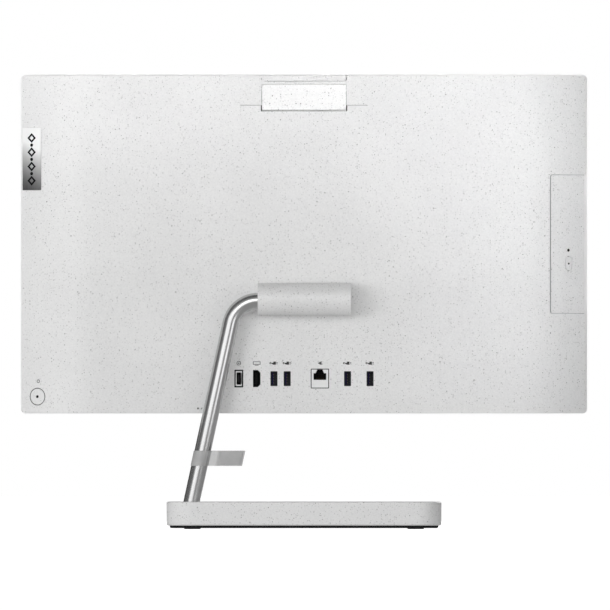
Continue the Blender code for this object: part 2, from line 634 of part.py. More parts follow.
def build_electronics(tilt_axis, fan_axis):
    board = [(-115, 127), (118, 127), (118, 292), (50, 292), (50, 188), (-115, 188)]
    holes = [rounded((x - 2, x + 2), (z - 2, z + 2), 1.9, 3) for x, z in BOARD_HOLES]
    part(outline("main_board", [board, *holes], "XZ", BOARD_BACK, BOARD_FACE), "circuit_board", tilt_axis)
    board_with_chips("memory_module_1", (-112, -42.4), (157, 187), 4, tilt_axis)
    board_with_chips("memory_module_2", (-38, 31.6), (157, 187), 4, tilt_axis)
    board_with_chips("solid_state_drive", (37.5, 117.5), (160, 182), 3, tilt_axis)
    board_with_chips("wireless_card", (58, 80), (195, 225), 1, tilt_axis)
    part(box("cooling_block", (62, 106), (-3.7, 4.3), (232, 276)), "copper", tilt_axis)
    part(tube("heat_pipe", [(x, 7.5, z) for x, z in PIPE_PATH], 2.8, 2), "copper", tilt_axis, smooth=True)

    comb = [(SINK_END, -6), (SINK_END, -4.8)]
    for number in range(FINS):
        right = SINK_END - FIN_PITCH * number
        comb += [(right, 4.4), (right - FIN_WIDTH, 4.4), (right - FIN_WIDTH, -4.8)]
        if number < FINS - 1:
            comb.append((right - FIN_PITCH, -4.8))
    comb.append((SINK_END - FIN_PITCH * (FINS - 1) - FIN_WIDTH, -6))
    part(outline("heat_sink", [comb], "XY", 396, 426), "aluminium", tilt_axis)

    half = FAN_RADIUS + 8
    housing = box("fan_housing", (FAN_X - half, FAN_X + half), FAN_Y, (FAN_Z - 40, FAN_Z + 44))
    outlet_x = (FAN_X - FAN_CHAMBER + 1, FAN_X + FAN_CHAMBER - 1)
    cut(
        housing,
        cylinder("fan_chamber", (FAN_X, -5.8, FAN_Z), (FAN_X, 7.2, FAN_Z), FAN_CHAMBER, 32),
        box("fan_outlet", outlet_x, (-5.7, 7.1), (FAN_Z, FAN_Z + 60)),
        cylinder("fan_intake", (FAN_X, 5, FAN_Z), (FAN_X, 15, FAN_Z), FAN_INTAKE, 28),
    )
    join(housing, cylinder("fan_pin", (FAN_X, -6.5, FAN_Z), (FAN_X, 2, FAN_Z), 2, 12))
    part(housing, "black_plastic", tilt_axis)
    rotor = cylinder("fan_rotor", (FAN_X, -5.2, FAN_Z), (FAN_X, 6.2, FAN_Z), FAN_HUB)
    for number in range(BLADES):
        angle = 2 * math.pi * number / BLADES
        blade = box(f"fan_blade_{number}", (FAN_HUB - 2, FAN_RADIUS), (-4.4, 5.4), (-0.6, 0.6))
        root = Vector(((FAN_HUB - 2) * MM, 0, 0))
        pitch = Matrix.Rotation(math.radians(28), 4, "Y")
        sweep = Matrix.Translation(root) @ pitch @ Matrix.Translation(-root)
        centre = Matrix.Translation(Vector((FAN_X, 0, FAN_Z)) * MM)
        blade.data.transform(centre @ Matrix.Rotation(angle, 4, "Y") @ sweep)
        join(rotor, blade)
    cut(rotor, cylinder("rotor_bore", (FAN_X, -9, FAN_Z), (FAN_X, 3, FAN_Z), 2.4, 12))
    part(rotor, "black_plastic", fan_axis)

    tray = box("drive_bracket", (-116, -4), (-7.6, -1), (272, 348))
    cut(tray, box("drive_channel", (-110.5, -9.5), (-6.6, 5), (260, 360)))
    part(tray, "plated_steel", tilt_axis)
    drive = outline("hard_drive", [rounded((-110, -10), (-6.2, 0.8), 0.8, 2)], "XY", 275, 345)
    part(drive, "aluminium", tilt_axis)
    for name, side in (("speaker_left", 1), ("speaker_right", -1)):
        ends = sorted((side * 145, side * 232))
        speaker = box(name, ends, (-7.0, 8.0), (116, 134))
        cut(speaker, cylinder(name + "_cone", (side * 160, 3, 125), (side * 160, 12, 125), 6.5))
        part(speaker, "black_plastic", tilt_axis)


# --- Camera, disc drive and power button ---


def build_camera(tilt_axis, camera_axis):
    guide = box("camera_guide", (-46, 46), (-7.6, -6.4), (384, 418))
    join(guide, box("guide_rail_left", (40.9, 43.6), (-7, 5), (384, 418)),
         box("guide_rail_right", (-43.6, -40.9), (-7, 5), (384, 418)),
         box("guide_stop", (-43, 43), (-7, 4), (384, 387)))
    part(guide, "black_plastic", tilt_axis)

    section = [(-5.4, 404), (6.0, 404), (6.0, 424.6), (15.2, 424.6), (15.2, 431), (-5.4, 431)]
    head = outline("camera_head", [section], "YZ", -CAMERA_HALF, CAMERA_HALF)
    cap = outline("camera_cap", [rounded((-CAMERA_HALF, CAMERA_HALF), (CAP_BOTTOM, CAP_TOP), 2.3)],
                  "XZ", -5.6, REAR)
    join(head, cap)
    cut(head, cylinder("lens_seat", (0, -10, 427), (0, -3, 427), 3.7, 20))
    part(head, "speckled_plastic", camera_axis)
    barrel = [(0, 2.6), (2.2, 2.6), (3.4, 2.2), (3.4, 0), (0, 0)]
    lens = turned("camera_lens", barrel, (0, -3.3, 427), (0, -1, 0), 20)
    part(lens, "screen_glass", camera_axis, smooth=True)
    panel = [
        (13.2, 424.3), (6.6, 424.3), (6.6, 421.8), (11.4, 421.8), (11.4, 381.5), (13.0, 381.5), (13.0, 399.9),
        (17.6, 399.9), (17.6, 401.2), (15.3, 406.5),
    ]
    slider = outline("camera_slider", [panel], "YZ", -CAMERA_HALF + GAP, CAMERA_HALF - GAP)
    part(slider, "white_plastic", camera_axis)


def build_disc_drive(tilt_axis, tray_axis, hub_axis, sled_axis, eject_axis):
    case = box("optical_drive_case", DRIVE_X, DRIVE_Y, DRIVE_Z)
    inner_z = (DRIVE_Z[0] + 0.8, DRIVE_Z[1] - 0.8)
    cut(case, box("case_hollow", (DRIVE_X[0] - 5, DRIVE_X[1] - 0.8), (-5.5, 2.5), inner_z))
    part(case, "plated_steel", tilt_axis)

    bezel = outline("tray_bezel", [rounded(BEZEL_X, BEZEL_Z, BEZEL_CORNER, 4)], "XZ", COVER_FRONT, 25)
    side = -BEZEL_X[0] - COVER_WALL
    hollow = [(-side, -15)] + rear_path(-side, BEZEL_X[1] + 5, COVER_WALL, 8) + [(BEZEL_X[1] + 5, -15)]
    common(bezel, rear_solid("bezel_surface", 0.0, -20))
    cut(
        bezel,
        outline("bezel_hollow", [hollow], "XY", BEZEL_Z[0] + 0.9, BEZEL_Z[1] - 0.9),
        rear_pill("eject_hole", EJECT_X, EJECT_Z, 6.6, 13.8, 5, 8),
        rear_pin("emergency_hole", -252.6, 266.1, 1.2, 5, 8, 12),
    )
    part(bezel, "speckled_plastic", tray_axis, smooth=True)

    tray = outline("disc_tray", [rounded((-255, -127), (209.2, 334.6), 2, 3)], "XZ", -5.2, -0.7)
    cut(
        tray,
        cylinder("disc_seat", (DISC_X, -2.6, DISC_Z), (DISC_X, 3, DISC_Z), 60.4, 48),
        cylinder("hub_hole", (DISC_X, -9, DISC_Z), (DISC_X, 3, DISC_Z), 13, 24),
        box("sled_slot", (DISC_X + 14.5, DISC_X + 58), (-9, 3), (DISC_Z - 11, DISC_Z + 11)),
    )
    part(tray, "black_plastic", tray_axis)
    hub = turned(
        "disc_hub",
        [(0, 6.0), (5.5, 6.0), (7.2, 5.2), (7.2, 4.0), (12.4, 4.0), (12.4, 0), (0, 0)],
        (DISC_X, -5.0, DISC_Z), (0, 1, 0), 24,
    )
    part(hub, "plated_steel", hub_axis, smooth=True)
    sled = box("laser_sled", (DISC_X + 15.5, DISC_X + 29), (-5.0, -2.9), (DISC_Z - 10.4, DISC_Z + 10.4))
    join(sled, cylinder("laser_lens", (DISC_X + 22, -3.5, DISC_Z), (DISC_X + 22, -2.0, DISC_Z), 2.4, 14))
    part(sled, "plated_steel", sled_axis)

    button = rear_pill("eject_button", EJECT_X, EJECT_Z, 6.0, 13.2, 6, 3.4)
    common(button, rear_solid("eject_surface", 0.0, -20))
    part(button, "speckled_plastic", eject_axis)


def build_power_button(power_axis):
    button = rear_pin("power_button", POWER_X, POWER_Z, POWER_RADIUS, 6, 4)
    common(button, rear_solid("power_surface", 0.0, -20))
    part(button, "speckled_plastic", power_axis)


def main():
    tilt = joint_empty("tilt_axis", (0, AXIS_Y, AXIS_Z), (-1, 0, 0))
    build_base()
    build_tube()
    build_hinge(tilt)
    leg = Vector(leg_point(67.5))
    build_cable_clip(joint_empty("clip_axis", leg, Vector((-math.sin(LEAN), 0, math.cos(LEAN)))))
    build_front(tilt)
    build_back_cover(tilt)
    build_sockets(tilt)
    build_electronics(tilt, joint_empty("fan_axis", (FAN_X, 0, FAN_Z), (0, 1, 0), tilt))
    build_camera(tilt, joint_empty("camera_axis", (0, 5, 420), (0, 0, 1), tilt))
    tray = joint_empty("tray_axis", (DISC_X, -3, DISC_Z), (-1, 0, 0), tilt)
    build_disc_drive(
        tilt,
        tray,
        joint_empty("hub_axis", (DISC_X, -3, DISC_Z), (0, 1, 0), tray),
        joint_empty("sled_axis", (DISC_X + 22, -3, DISC_Z), (1, 0, 0), tray),
        joint_empty("eject_axis", (EJECT_X, rear_y(EJECT_X), EJECT_Z), -rear_normal(EJECT_X), tray),
    )
    power_place = (POWER_X, rear_y(POWER_X), POWER_Z)
    build_power_button(joint_empty("power_axis", power_place, -rear_normal(POWER_X), tilt))


clear_scene()
PARTS = new_collection("all_in_one_pc")
CUTTERS = new_collection("cutters")
material_named = {name: new_material(name) for name in MATERIALS}
main()
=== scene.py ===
import math

import bmesh
import bpy
from mathutils import Matrix, Vector


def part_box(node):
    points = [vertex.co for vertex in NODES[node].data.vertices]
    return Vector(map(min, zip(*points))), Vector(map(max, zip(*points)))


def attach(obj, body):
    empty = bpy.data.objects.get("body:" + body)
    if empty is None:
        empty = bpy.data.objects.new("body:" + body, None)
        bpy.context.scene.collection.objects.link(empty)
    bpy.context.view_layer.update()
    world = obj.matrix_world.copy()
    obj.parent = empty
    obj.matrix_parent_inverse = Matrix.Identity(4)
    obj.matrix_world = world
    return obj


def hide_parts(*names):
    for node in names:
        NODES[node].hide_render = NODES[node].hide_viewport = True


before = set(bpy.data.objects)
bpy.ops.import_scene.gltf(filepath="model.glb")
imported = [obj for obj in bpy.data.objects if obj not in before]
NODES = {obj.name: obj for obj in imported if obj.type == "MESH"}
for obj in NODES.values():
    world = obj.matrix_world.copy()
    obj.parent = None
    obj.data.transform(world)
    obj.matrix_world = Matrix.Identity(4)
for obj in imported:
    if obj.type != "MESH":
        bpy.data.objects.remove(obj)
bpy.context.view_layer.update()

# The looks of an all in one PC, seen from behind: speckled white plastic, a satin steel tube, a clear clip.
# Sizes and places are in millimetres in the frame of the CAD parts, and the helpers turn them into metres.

MM = 0.001


def span(node):
    """A CAD node's (low, high) along X, Y and Z, in millimetres."""
    low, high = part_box(node)
    return [(low[i] / MM, high[i] / MM) for i in range(3)]


# --- Sizes read from the frame ---

FRAME_X, FRAME_Y, FRAME_Z = span("front_frame")
COVER_X, COVER_Y, COVER_Z = span("back_cover")
BASE_X, BASE_Y, BASE_Z = span("base_shell")
TUBE_X, TUBE_Y = span("stand_tube")[:2]
HINGE_X, HINGE_Y, HINGE_Z = span("hinge_cover")
SHAFT_Y, SHAFT_Z = span("hinge_shaft")[1:]
CLIP_Z = span("cable_clip")[2]
HEAD_X, HEAD_Y, HEAD_Z = span("camera_head")
SLIDER_X, SLIDER_Y, SLIDER_Z = span("camera_slider")
BEZEL_X, BEZEL_Y, BEZEL_Z = span("tray_bezel")
BADGE_X, _, BADGE_Z = span("rear_badge")


def middle(limits):
    return (limits[0] + limits[1]) / 2


GAP = 0.3
REAR = COVER_Y[1]
COVER_HALF = COVER_X[1]
COVER_WALL = 2.2
CORNER = 4.6
COVER_LOW = COVER_Z[0] - 0.9
ARC_START, ARC_RADIUS, ARC_STEPS = 200.0, 114.7, 44
AXIS_Y, AXIS_Z = middle(SHAFT_Y), middle(SHAFT_Z)
TUBE_RADIUS = (TUBE_Y[1] - TUBE_Y[0]) / 2
TUBE_CORNER, BEND_RADIUS, TUBE_BORE = 65.5, 27.0, 6.3
RING_RADIUS, RING_BORE = 8.5, 7.95
LEAN = math.radians(12.3)
CAP_BOTTOM = 427.7
WINDOW_BOTTOM, WINDOW_TOP = 399.5, 424.5
RECESS_HALF, RECESS_BOTTOM, RECESS_TOP = 61.0, 382.0, 404.6
SEAM_Z = (RECESS_TOP - 0.35, RECESS_TOP + 0.1)
SLIDER_DEPTH = 16.6
LENS_Z, LENS_RADIUS = 427, 3.4
POWER_X, POWER_Z, POWER_RADIUS, POWER_GAP = 254.7, 126.3, 7.65, 0.75
EJECT_X, EJECT_Z = -252.8, 253.3
EJECT_KEY, EJECT_HOLE = (6.0, 13.2), (7.1, 14.3)
RELEASE_X, RELEASE_Z, RELEASE_RADIUS = -252.6, 266.1, 1.55
LOCK_X, LOCK_Z, LOCK_RADIUS = 101.2, 115.0, 0.9
HDMI_TAPER = 2.5
USB_SOCKETS = tuple(f"usb_socket_{number}" for number in (1, 2, 3, 4))
SOCKETS = ("dc_inlet", "hdmi_socket", *USB_SOCKETS, "lan_socket")

PLANES = {
    "XY": Matrix.Identity(4),
    "XZ": Matrix.Rotation(math.pi / 2, 4, "X"),
    "YZ": Matrix(((0, 0, 1, 0), (1, 0, 0, 0), (0, 1, 0, 0), (0, 0, 0, 1))),
}


# --- Geometry helpers ---


def object_from(name, shape):
    bmesh.ops.recalc_face_normals(shape, faces=shape.faces)
    mesh = bpy.data.meshes.new(name)
    shape.to_mesh(mesh)
    shape.free()
    obj = bpy.data.objects.new(name, mesh)
    bpy.context.scene.collection.objects.link(obj)
    return obj


def evaluated_mesh(obj):
    bpy.context.view_layer.update()
    graph = bpy.context.evaluated_depsgraph_get()
    return bpy.data.meshes.new_from_object(obj.evaluated_get(graph))


def apply_modifiers(obj):
    mesh = evaluated_mesh(obj)
    obj.modifiers.clear()
    obj.data = mesh


def mesh_of_curve(name, curve, matrix):
    guide = bpy.data.objects.new(name + "_curve", curve)
    guide.matrix_world = matrix
    bpy.context.scene.collection.objects.link(guide)
    mesh = evaluated_mesh(guide)
    bpy.data.objects.remove(guide)
    shape = bmesh.new()
    shape.from_mesh(mesh)
    bmesh.ops.remove_doubles(shape, verts=shape.verts, dist=0.000002)
    shape.transform(matrix)
    return object_from(name, shape)


def outline(name, loops, plane, low, high):
    """Flat outlines in a plane, made solid from low to high. A loop inside another is a hole."""
    curve = bpy.data.curves.new(name, "CURVE")
    curve.dimensions = "2D"
    curve.fill_mode = "BOTH"
    curve.extrude = (high - low) / 2 * MM
    for loop in loops:
        spline = curve.splines.new("POLY")
        spline.points.add(len(loop) - 1)
        for point, (across, up) in zip(spline.points, loop):
            point.co = (across * MM, up * MM, 0.0, 1.0)
        spline.use_cyclic_u = True
    height = middle((low, high)) * MM
    offset = Vector((0.0, 0.0, -height if plane == "XZ" else height))
    return mesh_of_curve(name, curve, PLANES[plane] @ Matrix.Translation(offset))


def sweep(name, points, radius, resolution=8):
    curve = bpy.data.curves.new(name, "CURVE")
    curve.dimensions = "3D"
    curve.bevel_depth = radius * MM
    curve.bevel_resolution = resolution
    curve.use_fill_caps = True
    spline = curve.splines.new("POLY")
    spline.points.add(len(points) - 1)
    for point, place in zip(spline.points, points):
        point.co = (*(Vector(place) * MM), 1.0)
    return mesh_of_curve(name, curve, Matrix.Identity(4))


def block(name, x, y, z):
    shape = bmesh.new()
    size = Vector([(high - low) * MM for low, high in (x, y, z)])
    centre = Vector([middle(limits) * MM for limits in (x, y, z)])
    bmesh.ops.create_cube(shape, size=1.0, matrix=Matrix.LocRotScale(centre, None, size))
    return object_from(name, shape)


def rod(name, start, end, radius, sides, tip=None):
    """A round bar, or a cone where its far end has a radius of its own, tip."""
    start, end = Vector(start) * MM, Vector(end) * MM
    turn = (end - start).to_track_quat("Z", "Y")
    shape = bmesh.new()
    bmesh.ops.create_cone(
        shape, cap_ends=True, segments=sides,
        radius1=radius * MM, radius2=(radius if tip is None else tip) * MM,
        depth=(end - start).length, matrix=Matrix.LocRotScale((start + end) / 2, turn, None),
    )
    return object_from(name, shape)


def boolean(target, operation, others):
    for other in others:
        modifier = target.modifiers.new("Boolean", "BOOLEAN")
        modifier.operation = operation
        modifier.solver = "EXACT"
        modifier.object = other
    apply_modifiers(target)
    for other in others:
        bpy.data.objects.remove(other)


def cut(target, *others):
    boolean(target, "DIFFERENCE", others)


def join(target, *others):
    boolean(target, "UNION", others)


def common(target, *others):
    boolean(target, "INTERSECT", others)


def soften(obj, width, segments=2, angle=35):
    """Rounds every edge sharper than angle by width millimetres."""
    edge = obj.modifiers.new("Edge", "BEVEL")
    edge.width = width * MM
    edge.segments = segments
    edge.limit_method = "ANGLE"
    edge.angle_limit = math.radians(angle)
    edge.use_clamp_overlap = True
    edge.harden_normals = False
    apply_modifiers(obj)


def round_level(obj, height, width, segments):
    """Rounds the edges that run round an outline at one height."""
    shape = bmesh.new()
    shape.from_mesh(obj.data)
    flat = 0.000001
    level = [edge for edge in shape.edges if all(abs(v.co.z - height * MM) < flat for v in edge.verts)]
    rim = [edge for edge in level if edge.calc_face_angle(0.0) > 1.0]
    bmesh.ops.bevel(shape, geom=rim, offset=width * MM, segments=segments, profile=0.5, affect="EDGES")
    shape.to_mesh(obj.data)
    shape.free()


def arc(centre, radius, start, end, steps):
    angles = [math.radians(start + (end - start) * i / steps) for i in range(steps + 1)]
    return [(centre[0] + radius * math.cos(a), centre[1] + radius * math.sin(a)) for a in angles]


def rounded(x, y, radius, steps=10):
    corners = (
        ((x[1] - radius, y[1] - radius), 0),
        ((x[0] + radius, y[1] - radius), 90),
        ((x[0] + radius, y[0] + radius), 180),
        ((x[1] - radius, y[0] + radius), 270),
    )
    return [p for centre, start in corners for p in arc(centre, radius, start, start + 90, steps)]


def rectangle(x, y):
    return [(x[0], y[0]), (x[1], y[0]), (x[1], y[1]), (x[0], y[1])]


def grown(limits, by):
    return (limits[0] - by, limits[1] + by)


def about(centre, half):
    return (centre - half, centre + half)


# --- The rear surface ---


def rear_y(x, inset=0.0):
    beyond = max(0.0, abs(x) - ARC_START)
    return REAR - ARC_RADIUS + math.sqrt((ARC_RADIUS - inset) ** 2 - beyond**2)


def rear_path(start, end, inset=0.0, steps=ARC_STEPS):
    places = [start + (end - start) * i / steps for i in range(steps + 1)]
    return [(x, rear_y(x, inset)) for x in places]


def rear_solid(name, inset, front):
    side = COVER_HALF - inset
    plan = [(-side, front)] + rear_path(-side, -ARC_START, inset)
    plan += rear_path(ARC_START, side, inset) + [(side, front)]
    return outline(name, [plan], "XY", COVER_LOW + inset, COVER_Z[1] - inset)


def rear_normal(x):
    across = math.copysign(max(0.0, abs(x) - ARC_START), x) / ARC_RADIUS
    return Vector((across, math.sqrt(1 - across**2), 0.0))


def rear_matrix(x, z, lift=0.0):
    """Lays a flat drawing on the rear surface at x, z. From behind, its x runs right and its y up."""
    normal = rear_normal(x)
    across = Vector((0, 0, 1)).cross(normal)
    turn = Matrix((across, Vector((0, 0, 1)), normal)).transposed().to_4x4()
    place = (Vector((x, rear_y(x), z)) + normal * lift) * MM
    return Matrix.Translation(place) @ turn


def rear_pin(name, x, z, radius, above, below, sides):
    place, normal = Vector((x, rear_y(x), z)), rear_normal(x)
    return rod(name, place - normal * below, place + normal * above, radius, sides)


def rear_pill(name, x, z, width, height, above, below):
    across, up = about(0, width / 2), about(0, height / 2)
    bar = outline(name, [rounded(across, up, width / 2.01, 16)], "XY", -below, above)
    bar.data.transform(rear_matrix(x, z))
    return bar


# --- Materials ---


def new_node(tree, kind, **settings):
    node = tree.nodes.new(kind)
    for key, value in settings.items():
        setattr(node, key, value)
    return node


class Paint:
    """Builds one procedural material round a Principled shader."""

    def __init__(self, name):
        self.material = bpy.data.materials.new(name)
        self.material.use_nodes = True
        self.tree = self.material.node_tree
        self.shader = self.tree.nodes["Principled BSDF"]
        self.place = self.add("ShaderNodeTexCoord").outputs["Object"]

    def add(self, kind, **settings):
        return new_node(self.tree, kind, **settings)

    def feed(self, node, inputs):
        for key, value in inputs.items():
            socket = node.inputs[key]
            if isinstance(value, bpy.types.NodeSocket):
                self.tree.links.new(value, socket)
            else:
                socket.default_value = value
        return node

    def math(self, operation, a, b=0.0, clamp=False):
        node = self.add("ShaderNodeMath", operation=operation, use_clamp=clamp)
        return self.feed(node, {0: a, 1: b}).outputs[0]

    def ramp(self, value, low, high, start=0.0, end=1.0):
        node = self.add("ShaderNodeMapRange", clamp=True, interpolation_type="SMOOTHSTEP")
        inputs = {"Value": value, "From Min": low, "From Max": high, "To Min": start, "To Max": end}
        return self.feed(node, inputs).outputs["Result"]

    def mix(self, factor, a, b):
        node = self.add("ShaderNodeMix", data_type="RGBA")
        self.feed(node, {0: factor, 6: a, 7: b})
        return node.outputs[2]

    def stretch(self, scale):
        node = self.add("ShaderNodeMapping")
        return self.feed(node, {"Vector": self.place, "Scale": scale}).outputs["Vector"]

    def noise(self, scale, detail=3.0, place=None, roughness=0.5):
        node = self.add("ShaderNodeTexNoise")
        inputs = {"Vector": place or self.place, "Scale": scale, "Detail": detail, "Roughness": roughness}
        return self.feed(node, inputs).outputs["Fac"]

    def cells(self, scale, place, metric="EUCLIDEAN"):
        node = self.add("ShaderNodeTexVoronoi", feature="F1", distance=metric)
        return self.feed(node, {"Vector": place, "Scale": scale})

    def axis(self, which):
        node = self.add("ShaderNodeSeparateXYZ")
        return self.feed(node, {0: self.place}).outputs[which]

    def bump(self, height, distance, strength=1.0):
        node = self.add("ShaderNodeBump")
        inputs = {"Height": height, "Distance": distance, "Strength": strength}
        self.feed(self.shader, {"Normal": self.feed(node, inputs).outputs["Normal"]})

    def set(self, **inputs):
        self.feed(self.shader, {key.replace("_", " "): value for key, value in inputs.items()})


def grey(value, tint=(1.0, 1.0, 1.0)):
    return (value * tint[0], value * tint[1], value * tint[2], 1.0)


# Each size of speck: cells per metre, largest reach in a cell, share of empty cells, strength.
SPECKS = ((700.0, 0.42, 0.46, 0.38), (480.0, 0.30, 0.66, 0.72), (260.0, 0.20, 0.86, 1.0))


def speckled_plastic(name, base=0.80):
    """White plastic with fine grey specks of several sizes scattered through it."""
    paint = Paint(name)
    wobble = paint.add("ShaderNodeTexNoise")
    paint.feed(wobble, {"Vector": paint.place, "Scale": 900.0, "Detail": 2.0})
    shift = paint.add("ShaderNodeVectorMath", operation="SCALE")
    paint.feed(shift, {0: wobble.outputs["Color"], "Scale": 0.0011})
    moved = paint.add("ShaderNodeVectorMath", operation="ADD")
    ragged = paint.feed(moved, {0: paint.place, 1: shift.outputs[0]}).outputs[0]
    coarse = paint.math("MULTIPLY", paint.noise(14.0, 3.0), 0.4)
    fine = paint.math("MULTIPLY", paint.noise(650.0, 2.0), 0.6)
    cloud = paint.math("ADD", coarse, fine)
    pale = grey(base * 1.04, (1.0, 1.0, 0.997))
    colour = paint.mix(paint.ramp(cloud, 0.32, 0.68), grey(base * 0.95), pale)
    for scale, largest, rarity, depth in SPECKS:
        cell = paint.cells(scale, ragged)
        parts = paint.add("ShaderNodeSeparateColor")
        paint.feed(parts, {0: cell.outputs["Color"]})
        reach = paint.ramp(parts.outputs[0], rarity, 1.0, -0.05, largest)
        inside = paint.math("SUBTRACT", reach, cell.outputs["Distance"])
        mask = paint.ramp(inside, 0.0, 0.05, 0.0, depth)
        shade = paint.mix(parts.outputs[1], grey(0.16), grey(0.46, (1.0, 0.99, 0.97)))
        colour = paint.mix(mask, colour, shade)
    paint.set(Base_Color=colour)
    paint.set(Roughness=paint.ramp(paint.noise(60.0), 0.2, 0.8, 0.39, 0.46))
    paint.bump(paint.noise(2600.0, 2.0), 0.00001, 0.35)
    return paint.material


def moulded_plastic(name, colour, roughness, grain=1600.0, variation=0.06, gloss=0.5):
    """Plain plastic with a fine moulded grain and a slight unevenness."""
    paint = Paint(name)
    darker = tuple(c * (1 - variation) for c in colour[:3]) + (1.0,)
    cloud = paint.ramp(paint.noise(35.0, 4.0), 0.3, 0.7)
    paint.set(Base_Color=paint.mix(cloud, darker, (*colour[:3], 1.0)), Specular_IOR_Level=gloss)
    paint.set(Roughness=paint.ramp(paint.noise(90.0, 3.0), 0.2, 0.8, roughness - 0.04, roughness + 0.05))
    paint.bump(paint.noise(grain, 2.0), 0.00003, 0.4)
    return paint.material


def worked_metal(name, colour, roughness, streak):
    """Metal with fine lines along one direction and faint patches of wear."""
    paint = Paint(name)
    lines = paint.noise(1.0, 4.0, paint.stretch(streak), 0.6)
    darker = tuple(c * 0.86 for c in colour[:3]) + (1.0,)
    streaked = paint.mix(paint.ramp(lines, 0.25, 0.75), darker, (*colour[:3], 1.0))
    paint.set(Base_Color=streaked, Metallic=1.0)
    patches = paint.math("MULTIPLY", paint.noise(25.0), 0.08)
    wear = paint.math("ADD", paint.math("MULTIPLY", lines, 0.12), patches)
    paint.set(Roughness=paint.ramp(wear, 0.05, 0.15, roughness - 0.05, roughness + 0.07))
    paint.bump(lines, 0.000004, 0.5)
    return paint.material


def circuit_board(name):
    """Green laminate with paler tracks in blocks and gold pads."""
    paint = Paint(name)
    flat = paint.stretch((1.0, 0.02, 1.0))
    tracks = paint.cells(260.0, flat, "CHEBYCHEV")
    line = paint.ramp(paint.math("PINGPONG", tracks.outputs["Distance"], 0.12), 0.03, 0.06)
    colour = paint.mix(line, (0.012, 0.075, 0.035, 1.0), (0.02, 0.13, 0.06, 1.0))
    pads = paint.cells(420.0, flat)
    pad = paint.ramp(pads.outputs["Distance"], 0.16, 0.12)
    colour = paint.mix(pad, colour, (0.75, 0.55, 0.25, 1.0))
    paint.set(Base_Color=colour, Metallic=pad, Roughness=0.4)
    paint.bump(line, 0.00004, 0.6)
    return paint.material


def satin_tube(name):
    """Satin steel: a fine blasted grain under a soft sheen."""
    paint = Paint(name)
    grain = paint.noise(2200.0, 3.0, None, 0.6)
    cloud = paint.noise(22.0, 3.0)
    colour = paint.mix(paint.ramp(cloud, 0.3, 0.7), grey(0.53, (1.0, 1.0, 1.005)), grey(0.56))
    paint.set(Base_Color=colour, Metallic=1.0)
    paint.set(Roughness=paint.ramp(paint.math("ADD", cloud, grain), 0.7, 1.3, 0.19, 0.22))
    paint.bump(grain, 0.000001, 0.3)
    return paint.material


def badge_metal(name):
    """A satin plate, brushed along its length, with a painted reflection that darkens it towards its foot and
    lightens it a little towards its low-X side.
    """
    paint = Paint(name)
    lines = paint.noise(1.0, 3.0, paint.stretch((2600.0, 2600.0, 60.0)))
    low, high = (value * MM for value in BADGE_Z)
    # Painted reflection: the plate's colour runs from near black at its foot to near white at its top, and a
    # little paler towards its low-X side.
    painted_reflection_climb = paint.add("ShaderNodeMapRange", clamp=True)
    painted_reflection_level = paint.feed(painted_reflection_climb, {0: paint.axis(2), 1: low, 2: high}).outputs["Result"]
    across = paint.ramp(paint.axis(0), BADGE_X[0] * MM, BADGE_X[1] * MM, 0.14, 0.0)
    painted_reflection_level = paint.math("MULTIPLY", paint.math("ADD", painted_reflection_level, across), 1.28, clamp=True)
    # The painted reflection's level sets the plate's colour between near black and near white.
    shade = paint.mix(paint.math("POWER", painted_reflection_level, 1.75), grey(0.055), grey(0.94))
    streaked = paint.mix(paint.ramp(lines, 0.3, 0.7, 0.0, 0.05), shade, grey(0.7))
    paint.set(Base_Color=streaked, Metallic=0.15, Roughness=paint.ramp(lines, 0.2, 0.8, 0.36, 0.44))
    paint.bump(lines, 0.000003, 0.4)
    return paint.material


def clear_plastic(name, cover):
    """Grey see-through plastic with a faint flow pattern. Cover is the share of what it hides."""
    paint = Paint(name)
    flow = paint.noise(80.0, 3.0)
    colour = paint.mix(paint.ramp(flow, 0.3, 0.7), grey(0.46), grey(0.51))
    paint.set(Base_Color=colour, Roughness=0.35, Alpha=cover)
    paint.bump(paint.noise(500.0, 2.0), 0.00001, 0.3)
    return paint.material


def dark_glass(name):
    """A switched-off screen: near black, with its active area a little lighter than the border."""
    paint = Paint(name)
    x, z = paint.axis(0), paint.axis(2)
    low, high = 131.3 * MM, 426.3 * MM
    across = paint.ramp(paint.math("ABSOLUTE", x), 0.2633, 0.2630)
    up = paint.math("ABSOLUTE", paint.math("SUBTRACT", z, middle((low, high))))
    half = (high - low) / 2
    inside = paint.math("MULTIPLY", across, paint.ramp(up, half + 0.0002, half - 0.0001))
    haze = paint.ramp(paint.noise(9.0, 2.0), 0.3, 0.7, 0.0, 0.35)
    active = paint.mix(haze, (0.011, 0.012, 0.014, 1.0), (0.014, 0.015, 0.018, 1.0))
    paint.set(Base_Color=paint.mix(inside, grey(0.004), active))
    paint.set(Roughness=paint.ramp(inside, 0.0, 1.0, 0.12, 0.24))
    paint.bump(paint.noise(3500.0, 1.0), 0.000002, 0.25)
    return paint.material


# --- Placing pieces ---


def show(obj, body, material, replaces, angle=30):
    """A finished piece: painted, smooth but for edges over angle degrees, and riding on its body."""
    obj.data.materials.clear()
    obj.data.materials.append(material)
    obj.data.shade_smooth()
    obj.data.set_sharp_from_angle(angle=math.radians(angle))
    weigh = obj.modifiers.new("Even faces", "WEIGHTED_NORMAL")
    weigh.keep_sharp = True
    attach(obj, body)
    if replaces:
        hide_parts(*replaces)


def mark(name, x, z, loops, paint, lift=0.01, depth=0.06):
    """A thin sign on the rear surface, drawn in millimetres round its own centre."""
    sign = outline(name, loops, "XY", 0.0, depth)
    sign.data.transform(rear_matrix(x, z, lift))
    show(sign, "display", paint, ())


def remove_startup_objects():
    for name in ("Cube", "Light", "Camera"):
        if name in bpy.data.objects:
            bpy.data.objects.remove(bpy.data.objects[name])


# --- Display housing ---


